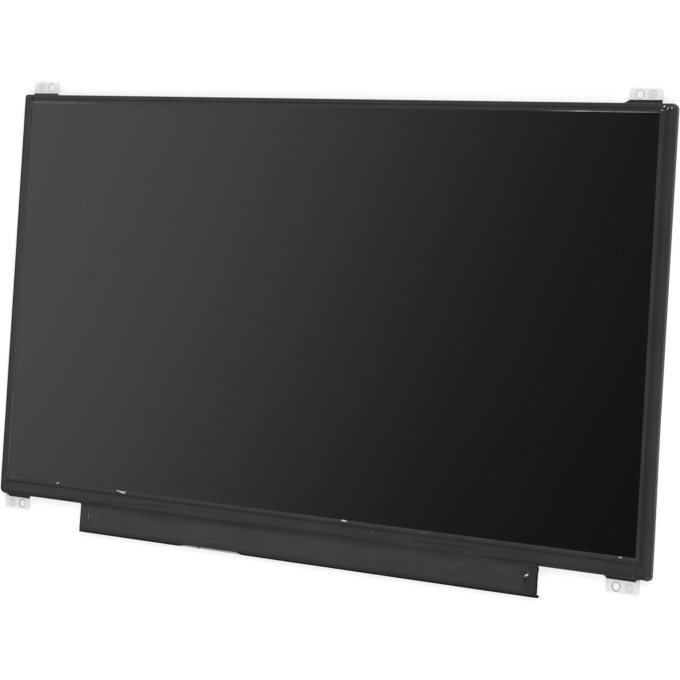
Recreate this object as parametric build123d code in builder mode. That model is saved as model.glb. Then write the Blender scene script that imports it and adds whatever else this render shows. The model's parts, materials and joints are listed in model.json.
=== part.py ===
"""Slim laptop screen panel: a bare 13.3 inch liquid crystal module, lying on its back.

Millimetres. X runs along the width and Y up the picture. Z is the way that the screen faces.
The origin is the centre of the active area, on the plane that the rear cover lies on.
"""

import os

from build123d import *

os.makedirs("parts", exist_ok=True)

# Active area, and the borders from it to the outline of the taped module
active_w = 293.42
active_h = 164.97
border_side = 5.965
border_top = 4.565
border_bottom = 8.515
outline_corner = 2.1

# Black film tape round the border, and its opening beyond the active area
tape_t = 0.12
tape_gap = 0.03
rim_round = 1.2
hem_w = 1.8
view_left = 1.54
view_right = 0.24
view_top = 0.915
view_bottom = 0.915
groove_depth = 0.4
groove_bottom_w = 1.5

# Stamped rear cover
sheet_t = 0.3
margin_step = 0.2
flange_h = 1.9
bend_r = 0.45
shape_gap = 0.05

# Fixing ears of the rear cover: the middle of each from the end of the outline, and what it reaches out
ear_w = 13.4
ear_inset_top_left = 10.475
ear_inset_top_right = 12.575
ear_inset_bottom_left = 8.775
ear_inset_bottom_right = 10.475
ear_reach_top = 5.75
ear_reach_bottom = 6.4
ear_front_z = 1.6
ear_joggle = 0.35
ear_corner = 1.2
ear_bend_r = 0.3
hole_d = 2.8
sink_d = 3.7
sink_depth = 0.2
hole_to_tip = 2.25
hole_offset = 2.6
dimple_d = 3.3
dimple_depth = 0.12
lip_reach = 1.3
lip_reach_top_left = 0.7
lip_flare = 1.1

# Snap windows in the flanges of the rear cover
window_w = 8.0
window_h = 0.8
window_play = 0.2
window_z = 1.1
window_pitch_x = 90.0
window_pitch_y = 80.0

# Sheets of the backlight, from the rear
reflector_t = 0.15
guide_t = 0.8
diffuser_t = 0.13
prism_t = 0.15
film_play = 0.07
film_margin = 1.6
film_gap = 0.25
guide_lip = 2.5
film_tab_w = 6.0
film_tab_reach = 1.0
film_tab_pitch = 110.0

# Light bar along the lower edge
led_count = 40
led_row_end = 7.91
led_w = 3.4
led_depth = 1.0
led_window_depth = 0.15
led_wall = 0.15
led_gap = 0.1
flex_t = 0.15
flex_strip_edge = 1.2
flex_end = 3.0
tail_w = 6.0
tail_x = 36.0

# Moulded frame
ledge_t = 0.4
ledge_margin = 0.9
flange_gap = 0.05
notch_side = 0.6
notch_drop = 0.1

# Display cell
mount_tape_t = 0.1
mount_tape_inset = 0.1
glass_t = 0.5
glass_margin_side = 1.79
glass_margin_top = 2.015
cf_margin_bottom = 2.415
tft_ledge = 3.1
glass_gap = 0.25
groove_side = 1.65
groove_top = 1.0
polariser_t = 0.2
polariser_inset = 0.1
rear_polariser_t = 0.15

# Driver board below the lower edge, and the film flap over it
flap_w = 217.0
flap_reach = 12.7
flap_corner = 0.6
film_lap_end = 0.15
film_lap_side = 0.5
board_gap = 0.7
board_t = 0.6
board_front_z = 2.2
short_film_x0 = -54.4
short_film_x1 = -26.0
short_film = 0.8

# Source driver films from the glass to the board
source_film_w = 35.0
source_film_t = 0.08
source_film_pitch = 68.0
source_bond = 2.4
source_pad = 2.0
source_drop = 2.0
source_chip_w = 24.0
source_chip_d = 1.6
source_chip_h = 0.35

# Display connector behind the board, open towards the lower edge
contact_count = 40
contact_pitch = 0.5
contact_w = 0.2
contact_t = 0.12
connector_inset = 34.0
connector_end = 2.6
connector_depth = 3.6
connector_h = 1.15
connector_back = 1.0
tongue_t = 0.3
shell_t = 0.15
shell_gap = 0.05

# Other parts soldered behind the board
backlight_plug_w = 8.4
backlight_plug_d = 3.0
backlight_plug_h = 1.1
timing_chip_w = 8.0
power_chip_w = 5.0
led_chip_w = 4.0
memory_chip_w = 3.0
memory_chip_d = 4.0
chip_h = 0.85
inductor_w = 4.6
inductor_h = 1.2
diode_w = 3.6
diode_d = 1.8
diode_h = 1.0
fuse_w = 1.6
fuse_d = 0.8
capacitor_w = 1.6
capacitor_d = 0.8
capacitor_h = 0.8
capacitor_pitch = 3.2
resistor_w = 1.0
resistor_d = 0.5
resistor_h = 0.35
resistor_pitch = 2.0
timing_x = 4.0
memory_step = 14.0
power_step = -32.0
led_driver_inset = 50.0
fuse_step = 12.0
inductor_step = 8.0
diode_step = 15.0
power_capacitors = 3
timing_capacitors = 4
timing_capacitor_step = -12.0
end_capacitors = 5
end_capacitor_inset = 18.0
timing_resistors = 9
timing_resistor_step = 16.0
end_resistors = 8
end_resistor_inset = 20.0

# Half the width of the slice that edges are picked in
pick_gap = 0.001

# Outline of the taped module, and of the parts under the tape
tape_skin = tape_t + tape_gap
out_x = active_w / 2 + border_side
out_top = active_h / 2 + border_top
out_bottom = -active_h / 2 - border_bottom
shell_x = out_x - tape_skin
shell_top = out_top - tape_skin
shell_bottom = out_bottom + tape_skin
shell_corner = outline_corner - tape_skin
inner_corner = shell_corner - sheet_t
frame_x = shell_x - sheet_t - flange_gap
frame_top = shell_top - sheet_t - flange_gap
frame_bottom = shell_bottom + sheet_t + flange_gap
frame_corner = inner_corner - flange_gap

# Opening of the tape
view_x0 = -active_w / 2 - view_left
view_x1 = active_w / 2 + view_right
view_y0 = -active_h / 2 - view_bottom
view_y1 = active_h / 2 + view_top

# Heights of the stack, from the rear
z_hem = margin_step - tape_skin
z_margin = margin_step + sheet_t
z_flange = margin_step + flange_h
z_rim = z_flange + flange_gap
z_guide = sheet_t + reflector_t
z_diffuser = z_guide + guide_t
z_lower_prism = z_diffuser + diffuser_t
z_upper_prism = z_lower_prism + prism_t
z_ledge = z_upper_prism + prism_t + film_play
z_seat = z_ledge + ledge_t
z_tft = z_seat + mount_tape_t
z_cf = z_tft + glass_t
z_polariser = z_cf + glass_t
z_face = z_polariser + polariser_t
z_top = z_face + tape_skin
z_board = board_front_z - board_t

# Places of the sheets, the light bar and the glass
film_x = active_w / 2 + film_margin
film_y1 = active_h / 2 + film_margin
film_y0 = -film_y1
guide_y0 = -active_h / 2 - guide_lip
led_y1 = guide_y0 - led_gap
led_y0 = led_y1 - led_depth
flex_y0 = led_y0 - flex_strip_edge
recess_x = film_x + film_gap
recess_y1 = film_y1 + film_gap
recess_y0 = flex_y0 - film_gap
field_x = recess_x + shape_gap + sheet_t
field_y1 = recess_y1 + shape_gap + sheet_t
field_y0 = recess_y0 - shape_gap - sheet_t
ledge_x = active_w / 2 + ledge_margin
ledge_y = active_h / 2 + ledge_margin
tft_x = active_w / 2 + glass_margin_side
tft_y1 = active_h / 2 + glass_margin_top
cf_y0 = -active_h / 2 - cf_margin_bottom
tft_y0 = cf_y0 - tft_ledge
rim_x = tft_x + groove_side
rim_y1 = tft_y1 + groove_top
rim_y0 = tft_y0 - glass_gap
rim_w = min(shell_x - rim_x, shell_top - rim_y1, rim_y0 - shell_bottom)
frame_round = min(rim_round - tape_skin, 0.8 * rim_w, 0.9 * (z_face - z_rim))
tape_round = frame_round + tape_skin

# The four ears, each with its middle, the side and the end of the panel it is on, and its tape's lip
ear_top_tip = out_top + ear_reach_top
ear_bottom_tip = out_bottom - ear_reach_bottom
ears = [
    (ear_inset_top_left - out_x, -1, 1, lip_reach_top_left),
    (out_x - ear_inset_top_right, 1, 1, lip_reach),
    (ear_inset_bottom_left - out_x, -1, -1, lip_reach),
    (out_x - ear_inset_bottom_right, 1, -1, lip_reach),
]

# Places of the board and of the films that reach it
flap_y0 = out_bottom - flap_reach
board_y0 = flap_y0 + film_lap_end
board_y1 = out_bottom - board_gap
board_x = flap_w / 2 - film_lap_side
board_mid_y = (board_y0 + board_y1) / 2
crest_y = (rim_y0 + shell_bottom + frame_round) / 2
land_y = shell_bottom - tape_skin - source_drop
z_flap = board_front_z + source_film_t + 2 * tape_gap
source_x = {"left": -source_film_pitch, "centre": 0.0, "right": source_film_pitch}


def plate(x0, x1, y0, y1, z0, z1, corner=0.0, mode=Mode.ADD):
    """Adds or cuts a flat plate between two corners and two heights, with rounded corners in plan."""
    with BuildSketch(Plane.XY.offset(z0)) as outline:
        with Locations(((x0 + x1) / 2, (y0 + y1) / 2)):
            if corner > 0:
                RectangleRounded(x1 - x0, y1 - y0, corner)
            else:
                Rectangle(x1 - x0, y1 - y0)
    extrude(outline.sketch, amount=z1 - z0, mode=mode)


def row(x, y, pitch, count):
    """Gives the centres of a row of like pieces along X, with its middle at (x, y)."""
    return [(x + (step - (count - 1) / 2) * pitch, y) for step in range(count)]


def plates(centres, w, d, z0, z1, mode=Mode.ADD):
    """Adds or cuts one flat plate of w by d at each of the centres, between two heights."""
    with BuildSketch(Plane.XY.offset(z0)) as outline:
        with Locations(*centres):
            Rectangle(w, d)
    extrude(outline.sketch, amount=z1 - z0, mode=mode)


def bent_strip(points, radius, thickness, x0, x1):
    """Adds a sheet of even thickness bent along points (y, z) of its middle plane, from x0 to x1."""
    with BuildSketch(Plane.YZ.offset(x0)) as section:
        with BuildLine() as middle:
            FilletPolyline(*points, radius=radius)
        trace(middle.line, line_width=thickness)
    extrude(section.sketch, amount=x1 - x0)


def outer_edges(edges, z):
    """Picks the edges that lie in the level plane z."""
    return edges.filter_by_position(Axis.Z, z - pick_gap, z + pick_gap)


def ear_place(end):
    """Gives the y of the outline and of the ears' tips at one end of the panel, 1 above and -1 below."""
    return (out_top, ear_top_tip) if end > 0 else (out_bottom, ear_bottom_tip)


def chip(label, x, y, w, d, h):
    """Makes a flat moulded package under the board, with its upper edges eased."""
    with BuildPart() as body:
        plate(x - w / 2, x + w / 2, y - d / 2, y + d / 2, z_board - h, z_board)
        chamfer(outer_edges(body.edges(), z_board - h), h / 6)
    body.part.label = label
    return body


def two_ended(centres, w, d, h):
    """Adds small components under the board, each with two end caps that stand a little proud."""
    cap = w / 5
    ease = h / 12
    plates(centres, w - 2 * cap, d - 2 * ease, z_board - h + ease, z_board)
    ends = [(x + end * (w - cap) / 2, y) for x, y in centres for end in (-1, 1)]
    plates(ends, cap, d, z_board - h, z_board)


# Rear cover: a stamped tray with a raised margin, low flanges and four cranked ears
with BuildPart() as rear_cover:
    plate(-shell_x, shell_x, shell_bottom, shell_top, margin_step, z_flange, shell_corner)
    fillet(outer_edges(rear_cover.edges(), margin_step), bend_r)
    plate(-field_x, field_x, field_y0, field_y1, 0, z_margin, shell_corner)
    chamfer(outer_edges(rear_cover.edges(), 0), margin_step / 2)
    plate(
        sheet_t - shell_x, shell_x - sheet_t, shell_bottom + sheet_t, shell_top - sheet_t,
        z_margin, z_flange, inner_corner, Mode.SUBTRACT,
    )
    plate(
        sheet_t - field_x, field_x - sheet_t, field_y0 + sheet_t, field_y1 - sheet_t,
        sheet_t, z_margin, inner_corner, Mode.SUBTRACT,
    )
    # Windows that the frame snaps into, three in the upper flange and two in each side flange
    for step in (-1, 0, 1):
        middle = step * window_pitch_x
        plate(
            middle - window_w / 2, middle + window_w / 2, shell_top - 2 * sheet_t, shell_top,
            window_z, window_z + window_h, mode=Mode.SUBTRACT,
        )
    for step in (-0.5, 0.5):
        middle = step * window_pitch_y
        plate(
            -shell_x, shell_x, middle - window_w / 2, middle + window_w / 2,
            window_z, window_z + window_h, mode=Mode.SUBTRACT,
        )
    # Way out for the tail of the light bar
    plate(
        tail_x - tail_w / 2 - notch_side, tail_x + tail_w / 2 + notch_side,
        shell_bottom, shell_bottom + sheet_t, z_margin, z_margin + 3 * flex_t, mode=Mode.SUBTRACT,
    )
    for x, side, end, lip in ears:
        edge, tip = ear_place(end)
        x0 = x - ear_w / 2
        x1 = x + ear_w / 2
        wall = edge - end * (tape_skin + sheet_t / 2)
        z_mid = ear_front_z - sheet_t / 2
        z_cut = z_margin + bend_r
        # The flange gives way to the ear, which rises with it and turns outward in one crank
        plate(
            x0 - notch_side, x1 + notch_side,
            min(wall, wall + end * sheet_t) - sheet_t / 2, max(wall, wall + end * sheet_t) + sheet_t / 2,
            z_cut, z_flange, mode=Mode.SUBTRACT,
        )
        crank = edge + end * (lip + ear_joggle)
        bent_strip(
            [
                (wall, z_cut - ear_bend_r), (wall, z_mid), (crank - end * ear_joggle, z_mid),
                (crank + end * ear_joggle, z_mid - ear_joggle), (tip, z_mid - ear_joggle),
            ],
            ear_bend_r, sheet_t, x0, x1,
        )
        upright = rear_cover.edges().filter_by(Axis.Z)
        corners = upright.filter_by_position(Axis.Y, tip - pick_gap, tip + pick_gap)
        fillet(corners.filter_by_position(Axis.X, x0 - pick_gap, x1 + pick_gap), ear_corner)
        hole_y = tip - end * hole_to_tip
        ear_face = ear_front_z - ear_joggle
        with Locations((x - side * hole_offset, hole_y, ear_face)):
            Cylinder(hole_d / 2, 4 * sheet_t, mode=Mode.SUBTRACT)
        with Locations((x - side * hole_offset, hole_y, ear_face - sink_depth / 2)):
            Cone(hole_d / 2, sink_d / 2, sink_depth, mode=Mode.SUBTRACT)
        with Locations((x + side * hole_offset, hole_y, ear_face)):
            Cylinder(dimple_d / 2, 2 * dimple_depth, mode=Mode.SUBTRACT)
rear_cover.part.label = "rear_cover"
export_step(rear_cover.part, "parts/rear_cover.step")

# White reflector behind the light guide
with BuildPart() as reflector_sheet:
    plate(-film_x, film_x, guide_y0, film_y1, sheet_t, z_guide, film_margin / 2)
reflector_sheet.part.label = "reflector_sheet"
export_step(reflector_sheet.part, "parts/reflector_sheet.step")

# Light guide, lit along its lower edge
with BuildPart() as light_guide_plate:
    plate(-film_x, film_x, guide_y0, film_y1, z_guide, z_diffuser)
    chamfer(light_guide_plate.edges().filter_by(Axis.Z).group_by(Axis.Y)[-1], film_margin / 2)
light_guide_plate.part.label = "light_guide_plate"
export_step(light_guide_plate.part, "parts/light_guide_plate.step")


def optical_sheet(label, z0, thickness):
    """Makes one film of the backlight, with two locating tabs on each side."""
    with BuildPart() as sheet:
        plate(-film_x, film_x, film_y0, film_y1, z0, z0 + thickness)
        for step in (-0.5, 0.5):
            middle = step * film_tab_pitch
            plate(
                -film_x - film_tab_reach, film_x + film_tab_reach,
                middle - film_tab_w / 2, middle + film_tab_w / 2, z0, z0 + thickness,
            )
    sheet.part.label = label
    export_step(sheet.part, f"parts/{label}.step")


optical_sheet("diffuser_sheet", z_diffuser, diffuser_t)
optical_sheet("lower_prism_sheet", z_lower_prism, prism_t)
optical_sheet("upper_prism_sheet", z_upper_prism, prism_t)

# Light bar: a flexible strip with a tail to the board, and the lamps soldered on it
led_pitch = 2 * (film_x - led_row_end) / (led_count - 1)
led_span = (led_count - 1) * led_pitch + led_w
plug_y1 = board_mid_y + backlight_plug_d / 2
z_tail = z_board - backlight_plug_h / 2
with BuildPart() as led_flex_strip:
    plate(-led_span / 2 - flex_end, led_span / 2 + flex_end, flex_y0, led_y1, sheet_t, sheet_t + flex_t)
    z_lie = sheet_t + flex_t / 2
    z_pass = z_margin + flex_t
    climb = z_pass - z_lie
    tail_route = [
        (led_y0, z_lie), (flex_y0 + climb, z_lie), (flex_y0 - film_gap / 2, z_pass),
        (out_bottom, z_pass), (plug_y1 + film_gap, z_tail), (plug_y1 - backlight_plug_d / 2, z_tail),
    ]
    bent_strip(tail_route, flex_t, flex_t, tail_x - tail_w / 2, tail_x + tail_w / 2)
led_flex_strip.part.label = "led_flex_strip"
export_step(led_flex_strip.part, "parts/led_flex_strip.step")

with BuildPart() as led_packages:
    lamp_z0 = sheet_t + flex_t
    lamp_z1 = lamp_z0 + guide_t
    lamps = row(0, (led_y0 + led_y1) / 2, led_pitch, led_count)
    windows = row(0, led_y1 - led_window_depth / 2, led_pitch, led_count)
    plates(lamps, led_w, led_depth, lamp_z0, lamp_z1)
    plates(
        windows, led_w - 2 * led_wall, led_window_depth, lamp_z0 + led_wall, lamp_z1 - led_wall, Mode.SUBTRACT,
    )
led_packages.part.label = "led_packages"
export_step(led_packages.part, "parts/led_packages.step")

# Moulded frame: it holds the films below its ledge and the cell above it
with BuildPart() as mould_frame:
    plate(-frame_x, frame_x, frame_bottom, frame_top, z_margin, z_rim, frame_corner)
    plate(-shell_x, shell_x, shell_bottom, shell_top, z_rim, z_face, shell_corner)
    fillet(outer_edges(mould_frame.edges(), z_face), frame_round)
    plate(-ledge_x, ledge_x, -ledge_y, ledge_y, z_margin, z_face, mode=Mode.SUBTRACT)
    plate(-recess_x, recess_x, recess_y0, recess_y1, z_margin, z_ledge, mode=Mode.SUBTRACT)
    plate(
        -tft_x - glass_gap, tft_x + glass_gap, tft_y0 - glass_gap, tft_y1 + glass_gap,
        z_seat, z_face, mode=Mode.SUBTRACT,
    )
    plate(-rim_x, rim_x, rim_y0, rim_y1, z_cf, z_face, mode=Mode.SUBTRACT)
    # Pockets for the tabs of the films
    for step in (-0.5, 0.5):
        middle = step * film_tab_pitch
        half = film_tab_w / 2 + film_gap
        reach = film_x + film_tab_reach + film_gap
        plate(-reach, reach, middle - half, middle + half, z_diffuser, z_ledge, mode=Mode.SUBTRACT)
    # Low places in the lower wall for the source films, and one for the tail of the light bar
    for x in source_x.values():
        half = source_film_w / 2 + notch_side
        plate(x - half, x + half, shell_bottom, rim_y0, z_cf - notch_drop, z_face, mode=Mode.SUBTRACT)
    half = tail_w / 2 + notch_side
    plate(
        tail_x - half, tail_x + half, shell_bottom, recess_y0,
        z_margin, z_margin + 3 * flex_t, mode=Mode.SUBTRACT,
    )
    # Snaps in the windows of the rear cover
    snap_w = window_w - 2 * window_play
    snap_z0 = window_z + window_play
    snap_z1 = window_z + window_h - window_play
    for step in (-1, 0, 1):
        middle = step * window_pitch_x
        plate(
            middle - snap_w / 2, middle + snap_w / 2, frame_top - sheet_t, shell_top - shape_gap, snap_z0, snap_z1,
        )
    for step in (-0.5, 0.5):
        for side in (-1, 1):
            middle = step * window_pitch_y
            root = side * (frame_x - sheet_t)
            nose = side * (shell_x - shape_gap)
            plate(
                min(root, nose), max(root, nose), middle - snap_w / 2, middle + snap_w / 2, snap_z0, snap_z1,
            )
mould_frame.part.label = "mould_frame"
export_step(mould_frame.part, "parts/mould_frame.step")

# Foam tape that the cell is stuck down with
with BuildPart() as cell_mount_tape:
    inset = mount_tape_inset
    plate(inset - tft_x, tft_x - inset, tft_y0 + inset, tft_y1 - inset, z_seat, z_tft)
    plate(
        -ledge_x - inset, ledge_x + inset, -ledge_y - inset, ledge_y + inset, z_seat, z_tft, mode=Mode.SUBTRACT,
    )
cell_mount_tape.part.label = "cell_mount_tape"
export_step(cell_mount_tape.part, "parts/cell_mount_tape.step")

# Display cell: two glasses between two polarisers
with BuildPart() as rear_polariser:
    inset = ledge_margin - rear_polariser_t
    plate(
        inset - ledge_x, ledge_x - inset, inset - ledge_y, ledge_y - inset, z_tft - rear_polariser_t, z_tft,
    )
rear_polariser.part.label = "rear_polariser"
export_step(rear_polariser.part, "parts/rear_polariser.step")

with BuildPart() as tft_glass:
    plate(-tft_x, tft_x, tft_y0, tft_y1, z_tft, z_cf)
    chamfer(tft_glass.edges().filter_by(Axis.Z).group_by(Axis.Y)[0], glass_t)
tft_glass.part.label = "tft_glass"
export_step(tft_glass.part, "parts/tft_glass.step")

with BuildPart() as colour_filter_glass:
    plate(-tft_x, tft_x, cf_y0, tft_y1, z_cf, z_polariser)
colour_filter_glass.part.label = "colour_filter_glass"
export_step(colour_filter_glass.part, "parts/colour_filter_glass.step")

with BuildPart() as front_polariser:
    inset = polariser_inset
    plate(inset - tft_x, tft_x - inset, cf_y0 + inset, tft_y1 - inset, z_polariser, z_face)
front_polariser.part.label = "front_polariser"
export_step(front_polariser.part, "parts/front_polariser.step")

# Source driver films: bonded to the lower ledge of the glass, they run over the frame down to the board
for name, x in source_x.items():
    x0 = x - source_film_w / 2
    x1 = x + source_film_w / 2
    z_bond = z_cf + source_film_t / 2
    z_pad = board_front_z + source_film_t / 2
    bond_y = tft_y0 + source_bond
    with BuildPart() as source_film:
        bent_strip(
            [
                (bond_y, z_bond), (out_bottom + tape_t, z_bond),
                (land_y, z_pad), (land_y - source_pad, z_pad),
            ],
            source_film_t, source_film_t, x0, x1,
        )
    source_film.part.label = f"source_film_{name}"
    export_step(source_film.part, f"parts/source_film_{name}.step")
    with BuildPart() as source_chip:
        chip_y = (rim_y0 + shell_bottom) / 2
        plate(
            x - source_chip_w / 2, x + source_chip_w / 2, chip_y - source_chip_d / 2, chip_y + source_chip_d / 2,
            z_cf + source_film_t, z_cf + source_film_t + source_chip_h,
        )
    source_chip.part.label = f"source_chip_{name}"
    export_step(source_chip.part, f"parts/source_chip_{name}.step")

# Driver board, with round notches at both ends for the assembly jig
with BuildPart() as driver_board:
    plate(-board_x, board_x, board_y0, board_y1, z_board, board_front_z, flap_corner)
    with Locations((-board_x, board_mid_y, z_board), (board_x, board_mid_y, z_board)):
        Cylinder(board_t, 4 * board_t, mode=Mode.SUBTRACT)
driver_board.part.label = "driver_board"
export_step(driver_board.part, "parts/driver_board.step")

# Display connector: an insulator with a tongue, its row of contacts and its sheet shell
connector_w = contact_count * contact_pitch + 2 * connector_end
connector_x = connector_inset - board_x
connector_x0 = connector_x - connector_w / 2
connector_x1 = connector_x + connector_w / 2
connector_y1 = board_mid_y + connector_depth / 2
connector_y0 = connector_y1 - connector_depth
z_roof = z_board - connector_h
z_tongue = (z_board + z_roof + shell_t) / 2
with BuildPart() as display_connector:
    plate(connector_x0, connector_x1, connector_y1 - connector_back, connector_y1, z_roof, z_board)
    plate(
        connector_x0 + connector_end, connector_x1 - connector_end, connector_y0, connector_y1 - connector_back,
        z_tongue - tongue_t / 2, z_tongue + tongue_t / 2,
    )
    for x in (connector_x0, connector_x1 - connector_end / 2):
        plate(x, x + connector_end / 2, connector_y0, connector_y1 - connector_back, z_roof, z_board)
display_connector.part.label = "display_connector"
export_step(display_connector.part, "parts/display_connector.step")

with BuildPart() as connector_shell:
    reach = shell_gap + shell_t
    plate(
        connector_x0 - reach, connector_x1 + reach, connector_y0, connector_y1 + reach, z_roof - reach, z_board,
    )
    plate(
        connector_x0 - shell_gap, connector_x1 + shell_gap, connector_y0, connector_y1 + shell_gap,
        z_roof - shell_gap, z_board, mode=Mode.SUBTRACT,
    )
    # Tails of the contacts come out under the rear wall of the shell
    plate(
        connector_x0 + connector_end / 2, connector_x1 - connector_end / 2, connector_y1, connector_y1 + reach,
        z_board - 2 * contact_t, z_board, mode=Mode.SUBTRACT,
    )
connector_shell.part.label = "connector_shell"
export_step(connector_shell.part, "parts/connector_shell.step")

with BuildPart() as connector_contacts:
    z_contact = z_tongue - tongue_t / 2 - contact_t
    blade_l = connector_depth - connector_back - contact_t
    tail_l = connector_back / 2
    blades = row(connector_x, connector_y0 + contact_t + blade_l / 2, contact_pitch, contact_count)
    tails = row(connector_x, connector_y1 + tail_l / 2, contact_pitch, contact_count)
    plates(blades, contact_w, blade_l, z_contact, z_contact + contact_t)
    plates(tails, contact_w, tail_l, z_board - contact_t, z_board)
connector_contacts.part.label = "connector_contacts"
export_step(connector_contacts.part, "parts/connector_contacts.step")

# Socket for the tail of the light bar
with BuildPart() as backlight_connector:
    plate(
        tail_x - backlight_plug_w / 2, tail_x + backlight_plug_w / 2,
        plug_y1 - backlight_plug_d, plug_y1, z_board - backlight_plug_h, z_board,
    )
    plate(
        tail_x - tail_w / 2 - shell_gap, tail_x + tail_w / 2 + shell_gap,
        plug_y1 - 0.7 * backlight_plug_d, plug_y1,
        z_tail - flex_t / 2 - shell_gap, z_tail + flex_t / 2 + shell_gap, mode=Mode.SUBTRACT,
    )
backlight_connector.part.label = "backlight_connector"
export_step(backlight_connector.part, "parts/backlight_connector.step")

# Chips and other soldered parts, spread along the board clear of the connectors
memory_x = timing_x + memory_step
power_x = timing_x + power_step
led_driver_x = board_x - led_driver_inset
for package in (
    chip("timing_chip", timing_x, board_mid_y, timing_chip_w, timing_chip_w, chip_h),
    chip("power_chip", power_x, board_mid_y, power_chip_w, power_chip_w, chip_h),
    chip("led_driver_chip", led_driver_x, board_mid_y, led_chip_w, led_chip_w, chip_h),
    chip("memory_chip", memory_x, board_mid_y, memory_chip_w, memory_chip_d, chip_h),
):
    export_step(package.part, f"parts/{package.part.label}.step")

with BuildPart() as power_inductors:
    for x in (power_x - inductor_step, led_driver_x + inductor_step):
        half = inductor_w / 2
        plate(
            x - half, x + half, board_mid_y - half, board_mid_y + half, z_board - inductor_h, z_board, half / 3,
        )
power_inductors.part.label = "power_inductors"
export_step(power_inductors.part, "parts/power_inductors.step")

with BuildPart() as rectifier_diodes:
    diodes = [(power_x - diode_step, board_mid_y), (led_driver_x + diode_step, board_mid_y)]
    two_ended(diodes, diode_w, diode_d, diode_h)
rectifier_diodes.part.label = "rectifier_diodes"
export_step(rectifier_diodes.part, "parts/rectifier_diodes.step")

with BuildPart() as input_fuse:
    two_ended([(power_x + fuse_step, board_mid_y)], fuse_w, fuse_d, resistor_h)
input_fuse.part.label = "input_fuse"
export_step(input_fuse.part, "parts/input_fuse.step")

with BuildPart() as ceramic_capacitors:
    for middle, count in (
        (power_x, power_capacitors),
        (timing_x + timing_capacitor_step, timing_capacitors),
        (board_x - end_capacitor_inset, end_capacitors),
    ):
        places = row(middle, board_y0 + 2 * capacitor_d, capacitor_pitch, count)
        two_ended(places, capacitor_w, capacitor_d, capacitor_h)
ceramic_capacitors.part.label = "ceramic_capacitors"
export_step(ceramic_capacitors.part, "parts/ceramic_capacitors.step")

with BuildPart() as chip_resistors:
    for middle, count in (
        (timing_x + timing_resistor_step, timing_resistors),
        (board_x - end_resistor_inset, end_resistors),
    ):
        places = row(middle, board_y1 - 2 * resistor_w, resistor_pitch, count)
        two_ended(places, resistor_w, resistor_d, resistor_h)
chip_resistors.part.label = "chip_resistors"
export_step(chip_resistors.part, "parts/chip_resistors.step")

# Tape round the whole border before it is cut into strips: a thin skin over the rounded rim that
# dips into the groove beside the glass and turns under the rear margin in a narrow hem
with BuildPart() as border_core:
    plate(
        tape_t - out_x, out_x - tape_t, out_bottom + tape_t, out_top - tape_t,
        z_hem + tape_t, z_top - tape_t, outline_corner - tape_t,
    )
    fillet(outer_edges(border_core.edges(), z_top - tape_t), tape_round - tape_t)

groove_gap = tape_gap
with BuildPart() as border_wrap:
    plate(-out_x, out_x, out_bottom, out_top, z_hem, z_top, outline_corner)
    fillet(outer_edges(border_wrap.edges(), z_top), tape_round)
    add(border_core.part, mode=Mode.SUBTRACT)
    groove_z = z_face + tape_gap - groove_depth
    groove_x0 = tft_x + groove_gap
    groove_x1 = rim_x - groove_gap
    groove_y1 = tft_y1 + groove_gap
    groove_y2 = rim_y1 - groove_gap
    groove_y0 = cf_y0 - groove_gap
    groove_low = groove_y0 - groove_bottom_w
    plate(-groove_x1, groove_x1, groove_low, groove_y2, groove_z, z_top - tape_t / 2)
    plate(
        tape_t - groove_x1, groove_x1 - tape_t, groove_low + tape_t, groove_y2 - tape_t,
        groove_z + tape_t, z_top, mode=Mode.SUBTRACT,
    )
    plate(-groove_x0 - tape_t, groove_x0 + tape_t, groove_y0 - tape_t, groove_y1 + tape_t, groove_z, z_top)
    plate(
        -groove_x0, groove_x0, groove_y0, groove_y1, groove_z, z_top - tape_t, mode=Mode.SUBTRACT,
    )
    plate(view_x0, view_x1, view_y0, view_y1, groove_z, z_top, mode=Mode.SUBTRACT)
    plate(
        hem_w - out_x, out_x - hem_w, out_bottom + hem_w, out_top - hem_w,
        z_hem, z_hem + tape_t, mode=Mode.SUBTRACT,
    )
    # Slits where the ears pass out through the tape, each with a lip that lies on the ear's root
    for x, side, end, lip in ears:
        edge, tip = ear_place(end)
        half = ear_w / 2 + notch_side
        z_lip = ear_front_z + tape_gap
        low = min(edge, edge - end * hem_w)
        plate(x - half, x + half, low, low + hem_w, z_hem, z_lip, mode=Mode.SUBTRACT)
        with BuildSketch(Plane.XY.offset(z_lip)) as tongue:
            with BuildLine():
                Polyline(
                    (x - half - lip_flare, edge - end * tape_t), (x - ear_w / 2, edge + end * lip),
                    (x + ear_w / 2, edge + end * lip), (x + half + lip_flare, edge - end * tape_t),
                    close=True,
                )
            make_face()
        extrude(tongue.sketch, amount=tape_t)

with BuildPart() as tape_left:
    add(border_wrap.part)
    plate(-out_x, view_x0, out_bottom, out_top, z_hem, z_top, mode=Mode.INTERSECT)
tape_left.part.label = "tape_left"
export_step(tape_left.part, "parts/tape_left.step")

with BuildPart() as tape_right:
    add(border_wrap.part)
    plate(view_x1, out_x, out_bottom, out_top, z_hem, z_top, mode=Mode.INTERSECT)
tape_right.part.label = "tape_right"
export_step(tape_right.part, "parts/tape_right.step")

with BuildPart() as tape_top:
    add(border_wrap.part)
    plate(
        view_x0 + tape_gap, view_x1 - tape_gap, view_y1, ear_top_tip, z_hem, z_top, mode=Mode.INTERSECT,
    )
tape_top.part.label = "tape_top"
export_step(tape_top.part, "parts/tape_top.step")

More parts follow.
